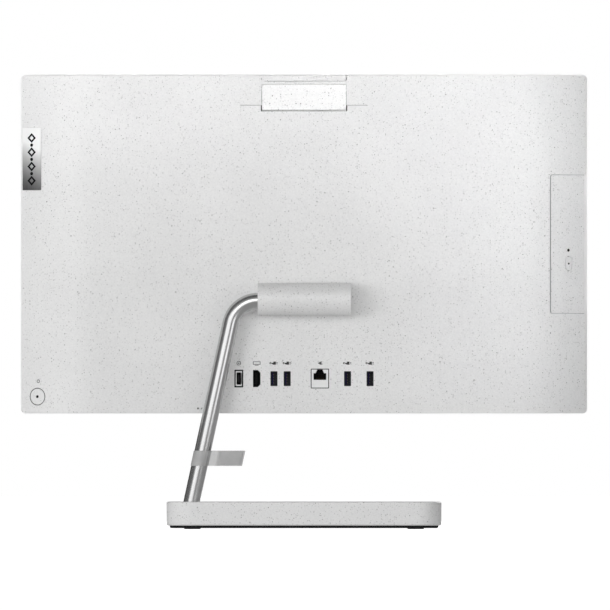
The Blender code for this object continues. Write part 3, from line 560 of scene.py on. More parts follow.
def socket_loop(name, grow=0.0):
    """A socket's outer outline, grown all round. The video socket has two slanted corners."""
    x, _, z = span(name)
    x, z = grown(x, grow), grown(z, grow)
    if name != "hdmi_socket":
        return rounded(x, z, 0.6, 4)
    slant = x[0] + HDMI_TAPER
    return [
        (x[1], z[0]), (x[1], z[1]), (slant, z[1]),
        (x[0], z[1] - HDMI_TAPER), (x[0], z[0] + HDMI_TAPER), (slant, z[0]),
    ]


def vent_loops():
    """Two rows of air slots, one on each side of the middle."""
    first, pitch, count = 70, 10, 12
    loops = []
    for side in (-1, 1):
        for number in range(count):
            x = side * (first + pitch * number)
            loops.append(rounded(about(x, 1.7), (-1, 11), 1.6, 6))
    return loops


def build_cover(paint):
    cover = rear_solid("housing_cover", 0.0, COVER_Y[0])
    corners = outline("corners", [rounded(COVER_X, (COVER_LOW, COVER_Z[1]), CORNER - 0.8, 14)], "XZ", -20, 30)
    common(cover, corners)
    soften(cover, 0.8, 4, 40)
    cut(cover, rear_solid("hollow", COVER_WALL, COVER_Y[0] - 6))
    boss_z = (RECESS_BOTTOM - 4, RECESS_TOP + 2.2)
    join(cover, block("boss", about(0, RECESS_HALF + 2), (13.6, 16.9), boss_z))
    ramp = [(15.8, RECESS_TOP), (25, RECESS_TOP), (25, RECESS_BOTTOM), (REAR, RECESS_BOTTOM)]
    ramp += [(REAR - 0.35, RECESS_BOTTOM + 6.5)]
    opening = HEAD_X[1] + GAP
    notch = rounded(grown((-opening, opening), 0.45), (CAP_BOTTOM - 0.6, 450), 2.6)
    window = [rounded((-opening, opening), (WINDOW_BOTTOM, WINDOW_TOP), 0.8, 6)]
    window_foot = [rounded(grown((-opening, opening), 0.7), (WINDOW_BOTTOM - 0.9, RECESS_TOP), 0.8, 6)]
    badge_x, badge_z = (BADGE_X[0] - GAP, BADGE_X[1] + 9), grown(BADGE_Z, GAP)
    seat = rear_path(badge_x[0], COVER_HALF - 0.9, 0.9, 20)
    seat += [(COVER_HALF - 0.9, -9), (280, -9), (280, 30), (badge_x[0], 30)]
    bezel_loop = rounded((-300, BEZEL_X[1] + 0.8), grown(BEZEL_Z, 0.45), 2.2, 8)
    relief_y, relief_z = (10, SLIDER_DEPTH + GAP), (WINDOW_TOP - 3, CAP_BOTTOM + 2)
    ports = [socket_loop(name, 0.1) for name in SOCKETS]
    vents = vent_loops()
    cut(
        cover,
        outline("recess", [ramp], "YZ", -RECESS_HALF, RECESS_HALF),
        outline("window", window, "XZ", 5, 25),
        outline("window_foot", window_foot, "XZ", 5, 25),
        block("recess_groove", (-RECESS_HALF, RECESS_HALF), (14.4, 25), SEAM_Z),
        block("window_relief", (-opening, opening), relief_y, relief_z),
        outline("notch", [notch], "XZ", -15, 25),
        outline("bezel_opening", [bezel_loop], "XZ", COVER_Y[0] - 3, 30),
        rear_pin("power_hole", POWER_X, POWER_Z, POWER_RADIUS + POWER_GAP, 5, 10, 96),
        outline("badge_seat", [seat], "XY", *badge_z),
        block("hinge_slot", (-31, 31), (10, 25), (208, 227.5)),
        outline("ports", ports, "XZ", 10, 25),
        rod("lock_hole", (LOCK_X, 10, LOCK_Z), (LOCK_X, 25, LOCK_Z), LOCK_RADIUS, 20),
        outline("top_vents", vents, "XY", COVER_Z[1] - 7, COVER_Z[1] + 6),
        outline("bottom_vents", vents, "XY", COVER_Z[0] - 6, COVER_Z[0] + 7),
    )
    soften(cover, 0.22, 2, 40)
    show(cover, "display", paint, ["back_cover"], 35)
    build_painted_shadows(opening)


def build_painted_shadows(opening):
    """Painted shadows: dark strips over the finger recess and under the thumb panel, and a dark plug at the
    floor of the lock hole, where there would be shade.
    """
    # Painted shadow: dark grey strips in the groove at the top of the finger recess, on both sides of the
    # thumb panel.
    near, far = opening + 0.8, RECESS_HALF - 0.1
    for name, x in (("left", (near, far)), ("right", (-far, -near))):
        shadow_line = block(f"recess_seam_{name}", x, (14.3, 14.8), grown(SEAM_Z, -0.06))
        soften(shadow_line, 0.04, 1)
        show(shadow_line, "display", PAINTS["shadow_grey"], ())
    # Painted shadow: a near-black plug fills the floor of the lock hole.
    floor = (LOCK_X, REAR - 0.3, LOCK_Z)
    plug = rod("lock_backing", (LOCK_X, 14, LOCK_Z), floor, LOCK_RADIUS - 0.02, 20)
    show(plug, "display", PAINTS["dark_lens"], (), 35)
    # Painted shadow: a dark strip in the gap under the thumb panel's foot.
    shadow_z = (WINDOW_BOTTOM - 0.75, WINDOW_BOTTOM - 0.5)
    shadow_piece = block("window_seal", (-opening, opening), (13.7, 15.6), shadow_z)
    soften(shadow_piece, 0.05, 1)
    show(shadow_piece, "display", PAINTS["shadow_grey"], ())


def build_front_frame(paint):
    wall, chin_top = 2.4, 129.6
    inside = FRAME_X[1] - wall
    floor, ceiling = FRAME_Z[0] + wall, FRAME_Z[1] - wall
    glass_x, glass_z = (-265.7, 265.7), (chin_top - 1, 429.0)
    rim = outline("frame_rim", [rounded(FRAME_X, FRAME_Z, CORNER, 14)], "XZ", *FRAME_Y)
    soften(rim, 0.6, 4, 40)
    cut(
        rim,
        block("pocket", (-inside, inside), (-16.1, 0), (floor, ceiling)),
        block("panel_pocket", (-inside, inside), (-18.4, -10), (125.7, ceiling)),
        block("glass_opening", glass_x, (-25, -17), glass_z),
        block("chin_seat", (-inside, inside), (-25, -18.1), (floor, chin_top)),
    )
    # A lip closes the gap between the frame's side and the disc drive's bezel.
    join(rim, block("side_lip", (1 + FRAME_X[0], BEZEL_X[0] + 1), (FRAME_Y[1] - 1.8, FRAME_Y[1]), BEZEL_Z))
    soften(rim, 0.15, 2, 40)
    show(rim, "display", paint, ["front_frame"], 35)


def build_chin(paint):
    """The strip under the screen, with two rows of fine speaker slots."""
    x, y, z = span("lower_bezel")
    strip = block("chin_strip", x, y, z)
    row, pitch, count, height = 150, 2.4, 46, z[0] + 3.2
    slots = []
    for side in (-1, 1):
        for number in range(count):
            centre = side * (row + pitch * (number - (count - 1) / 2))
            slots.append(rounded(about(centre, 0.5), about(height, 1.3), 0.45, 4))
    cut(strip, outline("speaker_slots", slots, "XZ", y[0] - 2, y[0] + 0.8))
    soften(strip, 0.2, 2, 50)
    show(strip, "display", paint, ["lower_bezel"], 35)


def build_hinge_cover(paint):
    radius = (HINGE_Z[1] - HINGE_Z[0]) / 2
    centre = (AXIS_Y, middle(HINGE_Z))

    def dome(size, start):
        return [(start, centre[1] + size), (start, centre[1] - size)] + arc(centre, size, -90, 90, 40)

    shell = outline("hinge_dome", [dome(radius, HINGE_Y[0])], "YZ", *HINGE_X)
    soften(shell, 1.0, 5, 50)
    hollow = outline("hollow", [dome(radius - 2, HINGE_Y[0] - 5)], "YZ", HINGE_X[0] + 2, HINGE_X[1] - 2)
    hole = rod("hole", (35, AXIS_Y, AXIS_Z), (50, AXIS_Y, AXIS_Z), TUBE_RADIUS + 0.35, 72)
    cut(shell, hollow, hole)
    show(shell, "display", paint, ["hinge_cover"], 35)


def build_badge(paint):
    plate = rear_path(*BADGE_X, -0.3, 24) + rear_path(BADGE_X[1], BADGE_X[0], 0.6, 24)
    badge = outline("badge_plate", [plate], "XY", *BADGE_Z)
    soften(badge, 0.25, 3, 40)
    show(badge, "display", paint, ["rear_badge"], 35)
    # A plain pattern of diamonds and dots stands along the plate.
    top, pitch = BADGE_Z[1] - 9.9, 13.6
    diamond = [[(size, 0), (0, size), (-size, 0), (0, -size)] for size in (4.7, 2.3)]
    dot = [arc((0, 0), 1.6, 0, 345, 23)]
    signs = [(f"badge_diamond_{n + 1}", n, diamond) for n in range(4)]
    signs += [(f"badge_dot_{n + 1}", n + 0.5, dot) for n in range(3)]
    for name, step, loops in signs:
        mark(name, middle(BADGE_X), top - pitch * step, loops, PAINTS["dark_lens"], 0.31, 0.12)


# --- Sockets ---


def build_usb(name, tongue_paint, metal):
    """A plated shell with folded lips round a cavity, and a dark blue tongue with its contacts."""
    x, y, z = span(name)
    centre, height = middle(x), middle(z)
    shell = outline(name + "_shell", [socket_loop(name)], "XZ", *y)
    cut(shell, outline("cavity", [rounded(grown(x, -0.45), grown(z, -0.5), 0.4, 4)], "XZ", 3, y[1] + 2))
    soften(shell, 0.12, 2, 50)
    show(shell, "display", metal, [name], 35)
    tongue_x, tongue_z = (centre + 0.4, centre + 2.2), about(height, 5.6)
    tongue = block(name + "_tongue", tongue_x, (2.9, y[1] - 1.6), tongue_z)
    soften(tongue, 0.25, 2)
    show(tongue, "display", tongue_paint, ())
    for number in range(4):
        level = height - 3.9 + 2.6 * number
        strip_x, strip_z = (centre + 0.15, centre + 0.5), about(level, 0.5)
        strip = block(f"{name}_contact_{number + 1}", strip_x, (4, y[1] - 3), strip_z)
        soften(strip, 0.08, 1)
        show(strip, "display", PAINTS["contact_gold"], ())
    for end, side in (("low", -1), ("high", 1)):
        level = height + side * 3.2
        spring_x, spring_z = (centre - 2.75, centre - 2.35), about(level, 1.1)
        spring = block(f"{name}_spring_{end}", spring_x, (6, y[1] - 2.5), spring_z)
        soften(spring, 0.12, 1)
        show(spring, "display", metal, ())


def build_hdmi(black):
    x, y, z = span("hdmi_socket")
    # Painted shade: the metal shell takes the black plastic paint, standing in for the shade inside the
    # socket.
    shell = outline("hdmi_shell", [socket_loop("hdmi_socket")], "XZ", *y)
    cut(shell, outline("cavity", [socket_loop("hdmi_socket", -0.6)], "XZ", 3, y[1] + 2))
    soften(shell, 0.12, 2, 30)
    show(shell, "display", black, ["hdmi_socket"], 25)
    tongue_x = about(middle(x) + 0.4, 0.7)
    tongue = block("hdmi_tongue", tongue_x, (2.9, y[1] - 1.5), grown(z, -2.6))
    soften(tongue, 0.2, 2)
    show(tongue, "display", black, ())


def build_dc_inlet(black, white):
    """A black inlet lined with white, whose dark slot holds a thin blade."""
    x, y, z = span("dc_inlet")
    shell = outline("dc_shell", [socket_loop("dc_inlet")], "XZ", *y)
    cut(shell, outline("cavity", [rounded(grown(x, -1.0), grown(z, -1.1), 0.5, 4)], "XZ", 3, y[1] + 2))
    soften(shell, 0.12, 2, 40)
    show(shell, "display", black, ["dc_inlet"], 35)
    slot_x, slot_z = about(middle(x), 2.1), grown(z, -2.5)
    lining_loop = rounded(grown(x, -1.15), grown(z, -1.25), 0.4, 4)
    lining = outline("dc_lining", [lining_loop], "XZ", 2.9, y[1] - 0.15)
    cut(
        lining,
        outline("slot", [rounded(slot_x, slot_z, 0.5, 4)], "XZ", 3.4, y[1] + 2),
        block("side_steps", (x[0], slot_x[0] + 0.2), (y[1] - 3.5, y[1] + 2), grown(slot_z, -0.6)),
    )
    soften(lining, 0.12, 2, 40)
    show(lining, "display", white, (), 35)
    sleeve_loop = rounded(grown(slot_x, -0.05), grown(slot_z, -0.05), 0.5, 4)
    sleeve = outline("dc_sleeve", [sleeve_loop], "XZ", 3.5, y[1] - 0.9)
    hole_loop = rounded(grown(slot_x, -0.4), grown(slot_z, -0.4), 0.3, 4)
    cut(sleeve, outline("sleeve_hole", [hole_loop], "XZ", 4.2, y[1] + 2))
    show(sleeve, "display", black, (), 35)
    blade = block("dc_blade", about(middle(x), 0.5), (4.1, y[1] - 7.5), grown(slot_z, -2.2))
    soften(blade, 0.15, 2)
    show(blade, "display", PAINTS["shade_darkened_metal"], ())


def build_lan(white, black):
    x, y, z = span("lan_socket")
    centre, height = middle(x), middle(z)
    floor, shoulder, roof = height - 1.3, height + 5.2, height + 8.6

    def cavity(inset):
        return [
            (centre - 6.1 + inset, floor + inset), (centre + 6.1 - inset, floor + inset),
            (centre + 6.1 - inset, shoulder - inset), (centre + 4.0 - inset, shoulder - inset),
            (centre + 2.6 - inset, roof - inset), (centre - 2.6 + inset, roof - inset),
            (centre - 4.0 + inset, shoulder - inset), (centre - 6.1 + inset, shoulder - inset),
        ]

    shell = outline("lan_shell", [rounded(grown(x, -0.75), grown(z, -0.75), 0.5, 4)], "XZ", *y)
    cut(shell, outline("cavity", [cavity(0)], "XZ", 3.6, y[1] + 2))
    soften(shell, 0.15, 2, 40)
    show(shell, "display", white, ["lan_socket"], 35)
    lining = outline("lan_lining", [cavity(0.12)], "XZ", 3.8, y[1] - 0.4)
    cut(lining, outline("lining_cavity", [cavity(0.5)], "XZ", 4.4, y[1] + 2))
    show(lining, "display", black, (), 35)
    # Painted shadow: a dark grey collar fills the gap between the socket and its hole in the cover.
    rings = [rounded(grown(x, by), grown(z, by), 0.5, 4) for by in (0.08, -0.72)]
    gap_shadow = outline("lan_collar", rings, "XZ", y[0] + 1, y[1] - 0.25)
    show(gap_shadow, "display", PAINTS["shadow_grey"], (), 35)
    for number in range(8):
        place = centre - 3.57 + 1.02 * number
        bends = [(place, 5.0, floor + 5.2), (place, 9.0, floor + 2.2), (place, 14.2, floor + 0.9)]
        wire = sweep(f"lan_wire_{number + 1}", bends, 0.22, 3)
        show(wire, "display", PAINTS["contact_gold"], ())


# --- Marks over the sockets and the power button ---


def build_marks(paint):
    height = 158.2
    inlet = [arc((0, 0), radius, 0, 345, 23) for radius in (2.1, 1.5)] + [arc((0, 0), 0.7, 0, 330, 11)]
    mark("mark_power_inlet", middle(span("dc_inlet")[0]), height, inlet, paint)
    screen = [rectangle((-3.6, 3.6), (-1.4, 1.6)), rectangle((-3.0, 3.0), (-0.8, 1.0))]
    screen.append(rectangle((-1.8, 1.8), (-2.3, -1.8)))
    mark("mark_video", middle(span("hdmi_socket")[0]), height, screen, paint)
    plug = [
        rectangle((-3.4, -0.6), (-0.35, 0.35)), arc((-3.4, 0), 1.0, 0, 330, 11),
        rectangle((-0.6, 1.8), (-1.5, 1.5)),
        rectangle((2.1, 3.6), (0.4, 0.95)), rectangle((2.1, 3.6), (-0.95, -0.4)),
    ]
    for number, usb in enumerate(USB_SOCKETS, 1):
        mark(f"mark_usb_{number}", middle(span(usb)[0]), height, plug, paint)
    network = [[(-2.0, 0.0), (1.1, -1.7), (1.1, 1.7)], rectangle((1.4, 1.9), (-1.7, 1.7))]
    mark("mark_network", middle(span("lan_socket")[0]), height, network, paint)
    power = arc((0, 0), 1.7, 120, 420, 24) + arc((0, 0), 1.1, 420, 120, 24)
    mark("mark_lock", LOCK_X - 3.4, LOCK_Z, [arc((0, 0), 0.6, 0, 330, 11)], paint)
    power_sign = [power, rectangle((-0.25, 0.25), (0.5, 2.0))]
    mark("mark_power_button", POWER_X - 1.0, POWER_Z + 14.7, power_sign, paint)


# --- Camera ---


def build_camera(speckled, panel_paint, glass, dark):
    front, back, step, top = HEAD_Y[0] + 0.2, 15.2, 424.6, 431
    section = [(front, HEAD_Z[0]), (6.0, HEAD_Z[0]), (6.0, step), (back, step), (back, top), (front, top)]
    head = outline("camera_body", [section], "YZ", HEAD_X[0] + 0.05, HEAD_X[1] - 0.05)
    cap = outline("cap", [rounded(HEAD_X, (CAP_BOTTOM, COVER_Z[1]), 2.3)], "XZ", *HEAD_Y)
    soften(cap, 0.45, 3, 40)
    join(head, cap)
    cut(head, rod("seat", (0, -10, LENS_Z), (0, -3, LENS_Z), LENS_RADIUS + GAP, 48))
    show(head, "camera", speckled, ["camera_head"], 30)
    # Painted shadow: a dark strip under the cap's lower edge, where the gap would be in shade.
    shadow_line = block("cap_seam", grown(HEAD_X, -2.5), (15.0, 15.5), (CAP_BOTTOM - 0.4, CAP_BOTTOM - 0.2))
    soften(shadow_line, 0.04, 1)
    show(shadow_line, "camera", PAINTS["shadow_grey"], ())

    lens = rod("lens_barrel", (0, -3.3, LENS_Z), (0, -5.6, LENS_Z), LENS_RADIUS, 48)
    cut(lens, rod("lens_cone", (0, -4.4, LENS_Z), (0, -6.4, LENS_Z), 0.9, 48, tip=3.6))
    soften(lens, 0.12, 2, 40)
    show(lens, "camera", dark, ["camera_lens"], 35)
    bead = bmesh.new()
    place = Matrix.Translation(Vector((0, -4.0, LENS_Z)) * MM) @ Matrix.Diagonal((1, 0.5, 1, 1))
    bmesh.ops.create_uvsphere(bead, u_segments=32, v_segments=16, radius=1.5 * MM, matrix=place)
    show(object_from("lens_glass", bead), "camera", glass, (), 80)

    front, hook, foot = 6.6, 421.8, 399.9
    panel = [
        (SLIDER_DEPTH, SLIDER_Z[1]), (front, SLIDER_Z[1]), (front, hook), (11.4, hook), (11.4, SLIDER_Z[0]),
        (13.0, SLIDER_Z[0]), (13.0, foot), (SLIDER_Y[1], foot), (SLIDER_Y[1], 401.2), (SLIDER_DEPTH, 406.5),
    ]
    slider = outline("camera_thumb_panel", [panel], "YZ", *grown(SLIDER_X, 0.3))
    soften(slider, 0.35, 3, 30)
    show(slider, "camera", panel_paint, ["camera_slider"], 25)


# --- Disc drive and power button ---


def build_bezel(paint, dark, lens):
    bezel = outline("drive_door", [rounded(BEZEL_X, BEZEL_Z, 1.6, 8)], "XZ", BEZEL_Y[0], 25)
    side = -BEZEL_X[0] - COVER_WALL
    hollow = [(-side, -15)] + rear_path(-side, BEZEL_X[1] + 5, COVER_WALL, 30) + [(BEZEL_X[1] + 5, -15)]
    common(bezel, rear_solid("surface", 0.0, -20))
    cut(
        bezel,
        outline("bezel_hollow", [hollow], "XY", BEZEL_Z[0] + 0.9, BEZEL_Z[1] - 0.9),
        rear_pill("eject_hole", EJECT_X, EJECT_Z, *EJECT_HOLE, 5, 8),
        rear_pin("release_hole", RELEASE_X, RELEASE_Z, RELEASE_RADIUS, 5, 8, 24),
    )
    soften(bezel, 0.3, 3, 40)
    show(bezel, "disc_drawer", paint, ["tray_bezel"], 35)

    button = rear_pill("eject_key", EJECT_X, EJECT_Z, *EJECT_KEY, 6, 3.4)
    common(button, rear_solid("surface", 0.0, -20))
    soften(button, 0.4, 3, 40)
    show(button, "eject_button", paint, ["eject_button"], 35)
    # Painted shadow: a black ring under the surface shows dark through the gap round the eject key.
    key_gap_shadow = rear_pill("key_backing", EJECT_X, EJECT_Z, 9.0, 16.0, -2.4, 3.0)
    cut(key_gap_shadow, rear_pill("backing_hole", EJECT_X, EJECT_Z, 6.2, 13.4, 0, 6))
    show(key_gap_shadow, "disc_drawer", dark, (), 35)
    # Painted shadow: a black plug darkens the floor of the release hole.
    plug = rear_pin("release_backing", RELEASE_X, RELEASE_Z, RELEASE_RADIUS - 0.01, -0.7, 3.0, 24)
    show(plug, "disc_drawer", dark, (), 35)
    dot = rear_pin("eject_light", EJECT_X, EJECT_Z, 0.95, 0.06, 0.4, 24)
    show(dot, "eject_button", lens, ())


def build_power_button(paint, lens):
    button = rear_pin("power_key", POWER_X, POWER_Z, POWER_RADIUS, 6, 4, 96)
    common(button, rear_solid("surface", 0.0, -20))
    soften(button, 0.25, 3, 40)
    show(button, "power_button", paint, ["power_button"], 35)
    # Painted shadow: a black ring sits in the gap round the power key and darkens it.
    shadow_piece = rear_pin("power_seal", POWER_X, POWER_Z, POWER_RADIUS + POWER_GAP - 0.02, -0.35, 2.1, 96)
    cut(shadow_piece, rear_pin("seal_hole", POWER_X, POWER_Z, POWER_RADIUS + 0.1, 3, 6, 96))
    show(shadow_piece, "display", PAINTS["black_plastic"], (), 35)
    dot = rear_pin("power_light", POWER_X, POWER_Z, 1.4, 0.06, 0.4, 32)
    show(dot, "power_button", lens, ())


# --- Stand ---


def leg_point(z):
    """Where the leaning leg's middle line passes the height z."""
    return (TUBE_CORNER + (AXIS_Z - z) * math.tan(LEAN), AXIS_Y, z)


def build_tube(paint):
    tangent = BEND_RADIUS * math.tan((math.pi / 2 - LEAN) / 2)
    bend = arc((TUBE_CORNER - tangent, AXIS_Z - BEND_RADIUS), BEND_RADIUS, 90, math.degrees(LEAN), 40)
    path = [(TUBE_X[0], AXIS_Y, AXIS_Z)] + [(x, AXIS_Y, z) for x, z in bend] + [leg_point(12.0)]
    tube = sweep("bent_tube", path, TUBE_RADIUS - 0.01, 16)
    bore = sweep("bore", [(TUBE_X[0] - 4, AXIS_Y, AXIS_Z), *path[1:-1], leg_point(8.0)], TUBE_BORE, 8)
    cut(tube, bore)
    show(tube, "stand", paint, ["stand_tube"], 40)


def build_base(paint, rubber):
    low, corner, wall = BASE_Z[0] - 0.4, 23.7, 3.2
    slab = outline("base_housing", [rounded(grown(BASE_X, -0.3), BASE_Y, corner, 24)], "XY", low, BASE_Z[1])
    round_level(slab, BASE_Z[1], 1.4, 6)
    round_level(slab, low, 1.6, 6)
    hollow = rounded(grown(BASE_X, -wall), grown(BASE_Y, -wall), 20.8, 24)
    leg_hole = rod("leg_hole", leg_point(45), leg_point(15), TUBE_RADIUS + 0.35, 72)
    cut(slab, outline("hollow", [hollow], "XY", 0, BASE_Z[1] - wall), leg_hole)
    show(slab, "stand", paint, ["base_shell"], 35)
    x, y, z = span("base_bottom_cover")
    # Painted shadow: a black ring under the bottom cover fills the gap above the floor, where there would be
    # shade.
    rings = [rounded(grown(x, -inset), grown(y, -inset), 21 - inset, 16) for inset in (1.0, 4.0)]
    rim = outline("base_rim", rings, "XY", z[0] - 0.5, z[0] - 0.01)
    soften(rim, 0.1, 2, 50)
    show(rim, "stand", rubber, (), 35)
    for number in (1, 2, 3, 4):
        x, y, z = span(f"base_foot_{number}")
        place, radius = (middle(x), middle(y)), (x[1] - x[0]) / 2
        pad = rod(f"rubber_pad_{number}", (*place, z[0]), (*place, z[1]), radius, 48)
        cut(pad, rod("dimple", (*place, z[0] - 1), (*place, z[0] + 0.5), radius - 2.2, 48))
        soften(pad, 0.3, 3, 40)
        show(pad, "stand", rubber, [f"base_foot_{number}"], 35)


def build_clip(paint, ring_paint):
    """A ring round the leg and a loop for cables, leaning with the leg."""
    low, high = CLIP_Z
    past = (low - 2, high + 2)
    x, y = leg_point(low)[0], AXIS_Y
    loop_x, loop_y = (x - 40.7, x - 15.0), (y - 9.5, y + 6)
    shoulder, joint = x - 8.7, loop_x[1] - 0.5
    neck_loop = [
        (x, y + RING_RADIUS), (shoulder, y + 5.2), (joint, y + 5.2),
        (joint, y + 3.4), (shoulder, y + 3.4), (x, y + 1),
    ]
    clip = outline("clear_clip", [arc((x, y), RING_RADIUS, 0, 355, 71)], "XY", low, high)
    neck = outline("neck", [neck_loop], "XY", low, high)
    loop = outline("loop", [rounded(loop_x, loop_y, 4)], "XY", low, high)
    join(clip, neck, loop)
    cut(
        clip,
        outline("bore", [arc((x, y), RING_BORE, 0, 355, 71)], "XY", *past),
        outline("loop_hole", [rounded(grown(loop_x, -1.5), grown(loop_y, -1.5), 2.6)], "XY", *past),
        block("slit", about(x, 3), (y - 12, y - 5), (low - 5, high + 5)),
    )
    soften(clip, 0.15, 2, 50)
    lean = Matrix.Identity(4)
    lean[0][2] = -math.tan(LEAN)
    lean[0][3] = low * MM * math.tan(LEAN)
    clip.data.transform(lean)
    show(clip, "cable_clip", paint, ["cable_clip"], 35)
    # The ring's wall is the denser part, so its faces take the second paint.
    clip.data.materials.append(ring_paint)
    for face in clip.data.polygons:
        leg = leg_point(face.center.z / MM)
        away = math.hypot(face.center.x / MM - leg[0], face.center.y / MM - leg[1])
        face.material_index = int(away < RING_RADIUS + 0.4)


# --- Carried-over CAD nodes ---


# Each paint, and the CAD nodes that stay in the picture with nothing new but that paint.
CAD_PAINTS = {
    "screen_glass": ["screen_glass"],
    "panel_back": ["lcd_panel"],
    "sheet_steel": ["chassis_plate", "drive_bracket", "optical_drive_case", "base_weight_plate"],
    "turned_steel": [
        "tube_flange", "hinge_shaft", "hinge_nut", "hinge_bracket", "disc_hub", "laser_sled",
        "friction_washer_1", "friction_washer_2", *(f"flange_screw_{n}" for n in (1, 2, 3, 4)),
    ],
    "circuit_board": [
        "main_board", "memory_module_1", "memory_module_2", "solid_state_drive", "wireless_card",
    ],
    "copper": ["cooling_block", "heat_pipe"],
    "aluminium": ["heat_sink", "hard_drive"],
    "black_plastic": [
        "base_bottom_cover", "fan_housing", "fan_rotor", "speaker_left", "speaker_right",
        "camera_guide", "disc_tray",
    ],
}


def paint_cad_nodes():
    for paint, names in CAD_PAINTS.items():
        for name in names:
            NODES[name].data.materials.clear()
            NODES[name].data.materials.append(PAINTS[paint])


def make_paints():
    return {
        "speckled": speckled_plastic("speckled_white_plastic"),
        "white": moulded_plastic("white_plastic", (0.84, 0.84, 0.84), 0.4, variation=0.03),
        "bright_white": moulded_plastic("bright_white_plastic", (0.93, 0.93, 0.93), 0.4, variation=0.03),
        "panel_speckled": speckled_plastic("bright_speckled_plastic", 0.93),
        "black_plastic": moulded_plastic(
            "black_plastic", (0.006, 0.006, 0.007), 0.5, variation=0.3, gloss=0.12
        ),
        # Dark grey for the painted shadows in gaps and grooves.
        "shadow_grey": moulded_plastic("painted_shadow_grey", (0.09, 0.09, 0.09), 0.5, variation=0.2, gloss=0.2),
        "tongue": moulded_plastic(
            "dark_blue_plastic", (0.010, 0.008, 0.040), 0.5, variation=0.25, gloss=0.15
        ),
        "mark": moulded_plastic("grey_print", (0.07, 0.07, 0.07), 0.5, variation=0.2, gloss=0.2),
        "dark_lens": moulded_plastic("dark_lens", (0.004, 0.004, 0.005), 0.4, variation=0.2, gloss=0.15),
        "rubber": moulded_plastic("matt_rubber", (0.035, 0.035, 0.036), 0.85, grain=700.0, variation=0.3),
        "satin_tube": satin_tube("satin_steel"),
        "badge": badge_metal("badge_metal"),
        "clip": clear_plastic("clear_grey_plastic", 0.48),
        "clip_ring": clear_plastic("dense_clear_plastic", 0.86),
        "screen_glass": dark_glass("dark_screen"),
        "lens_glass": moulded_plastic("lens_glass", (0.01, 0.01, 0.02), 0.06, variation=0.4),
        "panel_back": moulded_plastic("panel_back", (0.42, 0.42, 0.43), 0.5, grain=300.0),
        "sheet_steel": worked_metal("sheet_steel", (0.55, 0.56, 0.57), 0.38, (900.0, 40.0, 40.0)),
        "turned_steel": worked_metal("turned_steel", (0.50, 0.50, 0.51), 0.32, (700.0, 700.0, 60.0)),
        # Painted shade: the socket shells, springs and the inlet's blade are near-black metal, standing in
        # for the shade inside the sockets.
        "shade_darkened_metal": worked_metal("shade_darkened_metal", (0.045, 0.045, 0.05), 0.42, (900.0, 900.0, 60.0)),
        "copper": worked_metal("copper", (0.72, 0.40, 0.25), 0.3, (300.0, 300.0, 50.0)),
        "aluminium": worked_metal("aluminium", (0.72, 0.72, 0.74), 0.34, (60.0, 60.0, 900.0)),
        "contact_gold": worked_metal("contact_gold", (0.30, 0.22, 0.12), 0.4, (900.0, 60.0, 900.0)),
        "circuit_board": circuit_board("circuit_board"),
    }


# --- Studio ---


def area_light(name, place, target, size, power, spread=180.0, shines="shading"):
    """A softbox that shines on the shading alone, on the reflections alone, or on both."""
    light = bpy.data.lights.new(name, "AREA")
    light.shape = "RECTANGLE"
    light.size, light.size_y = size
    light.energy = power
    light.spread = math.radians(spread)
    obj = bpy.data.objects.new(name, light)
    obj.location = place
    obj.rotation_euler = (Vector(target) - Vector(place)).to_track_quat("-Z", "Y").to_euler()
    obj.visible_camera = False
    obj.visible_diffuse = shines != "reflections"
    obj.visible_glossy = shines != "shading"
    bpy.context.scene.collection.objects.link(obj)


# Each band of the world's light: the axis of its direction, where it changes, the levels at both ends.
WORLD_BANDS = (
    (1, (-0.95, -0.25), (0.28, 1.0)),
    (1, (0.25, 0.90), (0.24, 0.68)),
    (2, (0.30, 0.95), (1.0, 0.72)),
)


def build_world():
    """Even white to the eye. As light it is softer, and weakest from the screen's side."""
    world = bpy.data.worlds.new("studio")
    bpy.context.scene.world = world
    world.use_nodes = True
    tree = world.node_tree
    tree.nodes.clear()
    split = new_node(tree, "ShaderNodeSeparateXYZ")
    tree.links.new(new_node(tree, "ShaderNodeTexCoord").outputs["Generated"], split.inputs[0])
    level = None
    for axis, limits, ends in WORLD_BANDS:
        band = new_node(tree, "ShaderNodeMapRange", clamp=True, interpolation_type="SMOOTHSTEP")
        for key, value in zip(("From Min", "From Max", "To Min", "To Max"), limits + ends):
            band.inputs[key].default_value = value
        tree.links.new(split.outputs[axis], band.inputs["Value"])
        if level is None:
            level = band.outputs["Result"]
            continue
        product = new_node(tree, "ShaderNodeMath", operation="MULTIPLY")
        tree.links.new(level, product.inputs[0])
        tree.links.new(band.outputs["Result"], product.inputs[1])
        level = product.outputs[0]
    lit = new_node(tree, "ShaderNodeBackground")
    tree.links.new(level, lit.inputs["Strength"])
    seen = new_node(tree, "ShaderNodeBackground")
    seen.inputs["Color"].default_value = (1.0, 1.0, 1.0, 1.0)
    choose = new_node(tree, "ShaderNodeMixShader")
    tree.links.new(new_node(tree, "ShaderNodeLightPath").outputs["Is Camera Ray"], choose.inputs[0])
    tree.links.new(lit.outputs[0], choose.inputs[1])
    tree.links.new(seen.outputs[0], choose.inputs[2])
    tree.links.new(choose.outputs[0], new_node(tree, "ShaderNodeOutputWorld").inputs["Surface"])


def build_floor():
    shape = bmesh.new()
    bmesh.ops.create_grid(shape, x_segments=2, y_segments=2, size=20.0)
    floor = object_from("floor", shape)
    floor.location.z = -0.0001
    paint = Paint("pale_floor")
    paint.set(Base_Color=grey(0.70), Roughness=0.9)
    seen = paint.add("ShaderNodeLightPath").outputs["Is Camera Ray"]
    paint.set(Emission_Strength=paint.math("ADD", paint.math("MULTIPLY", seen, 0.82), 0.08))
    paint.shader.inputs["Emission Color"].default_value = (1.0, 1.0, 1.0, 1.0)
    floor.data.materials.append(paint.material)


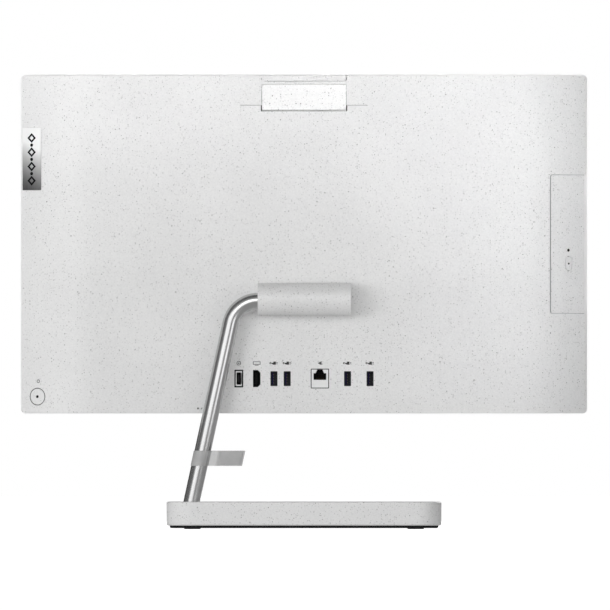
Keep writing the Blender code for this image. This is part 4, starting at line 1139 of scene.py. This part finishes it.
def build_camera_view():
    """Level with the object, straight at its back, from far away through a long lens."""
    camera = bpy.data.cameras.new("camera")
    camera.sensor_width = 36.0
    distance, seen_width, rise = 27.0, 0.5826, math.radians(-0.3)
    camera.lens = camera.sensor_width * distance / seen_width
    camera.clip_start, camera.clip_end = 0.1, 100.0
    obj = bpy.data.objects.new("camera", camera)
    target = Vector((-0.0009, 0.0, 0.2138))
    obj.location = target + distance * Vector((0.0, math.cos(rise), math.sin(rise)))
    obj.rotation_euler = (target - obj.location).to_track_quat("-Z", "Y").to_euler()
    bpy.context.scene.collection.objects.link(obj)
    bpy.context.scene.camera = obj
    bpy.context.scene.view_settings.view_transform = "Standard"


def build_studio():
    build_world()
    build_floor()
    aim = (0.0, 0.0, 0.25)
    area_light("key", (1.28, 1.92, 0.30), aim, (1.3, 0.9), 17.8)
    area_light("key_reflection", (0.9, 2.3, 0.50), aim, (2.2, 1.5), 12.5, shines="reflections")
    area_light("top_reflection", (0.1, 2.1, 0.98), aim, (1.0, 0.8), 4.2, shines="reflections")
    tube_aim = (0.08, 0.038, 0.20)
    area_light("side_reflection", (-0.33, 0.53, 0.20), tube_aim, (0.28, 0.6), 0.75, shines="reflections")
    area_light("left_edge", (1.5, 0.45, 0.3), (0.25, 0.0, 0.28), (0.6, 0.8), 3.5)
    area_light("fill", (0.0, 3.0, 0.25), aim, (1.2, 1.2), 12.3)
    area_light("right_edge", (-1.7, 1.5, 0.35), (-0.30, 0.0, 0.30), (0.3, 0.6), 0.122, 20.0)
    area_light("upper", (0.03, 1.2, 0.53), (0.03, 0.0, 0.53), (0.7, 0.12), 0.205, 28.0)
    area_light("upper_right", (-0.5, 1.2, 0.32), (-0.25, 0.0, 0.32), (0.1, 0.2), 0.04, 22.0)
    area_light("front", (-1.2, -2.6, 1.6), aim, (1.4, 1.4), 42.0, shines="both")


remove_startup_objects()
PAINTS = make_paints()
build_camera_view()
build_studio()
build_cover(PAINTS["speckled"])
build_front_frame(PAINTS["white"])
build_chin(PAINTS["white"])
build_hinge_cover(PAINTS["speckled"])
build_badge(PAINTS["badge"])
for usb in USB_SOCKETS:
    build_usb(usb, PAINTS["tongue"], PAINTS["shade_darkened_metal"])
build_hdmi(PAINTS["black_plastic"])
build_dc_inlet(PAINTS["black_plastic"], PAINTS["bright_white"])
build_lan(PAINTS["white"], PAINTS["black_plastic"])
build_marks(PAINTS["mark"])
build_camera(PAINTS["speckled"], PAINTS["panel_speckled"], PAINTS["lens_glass"], PAINTS["black_plastic"])
build_bezel(PAINTS["speckled"], PAINTS["black_plastic"], PAINTS["dark_lens"])
build_power_button(PAINTS["speckled"], PAINTS["dark_lens"])
build_tube(PAINTS["satin_tube"])
build_base(PAINTS["speckled"], PAINTS["rubber"])
build_clip(PAINTS["clip"], PAINTS["clip_ring"])
paint_cad_nodes()
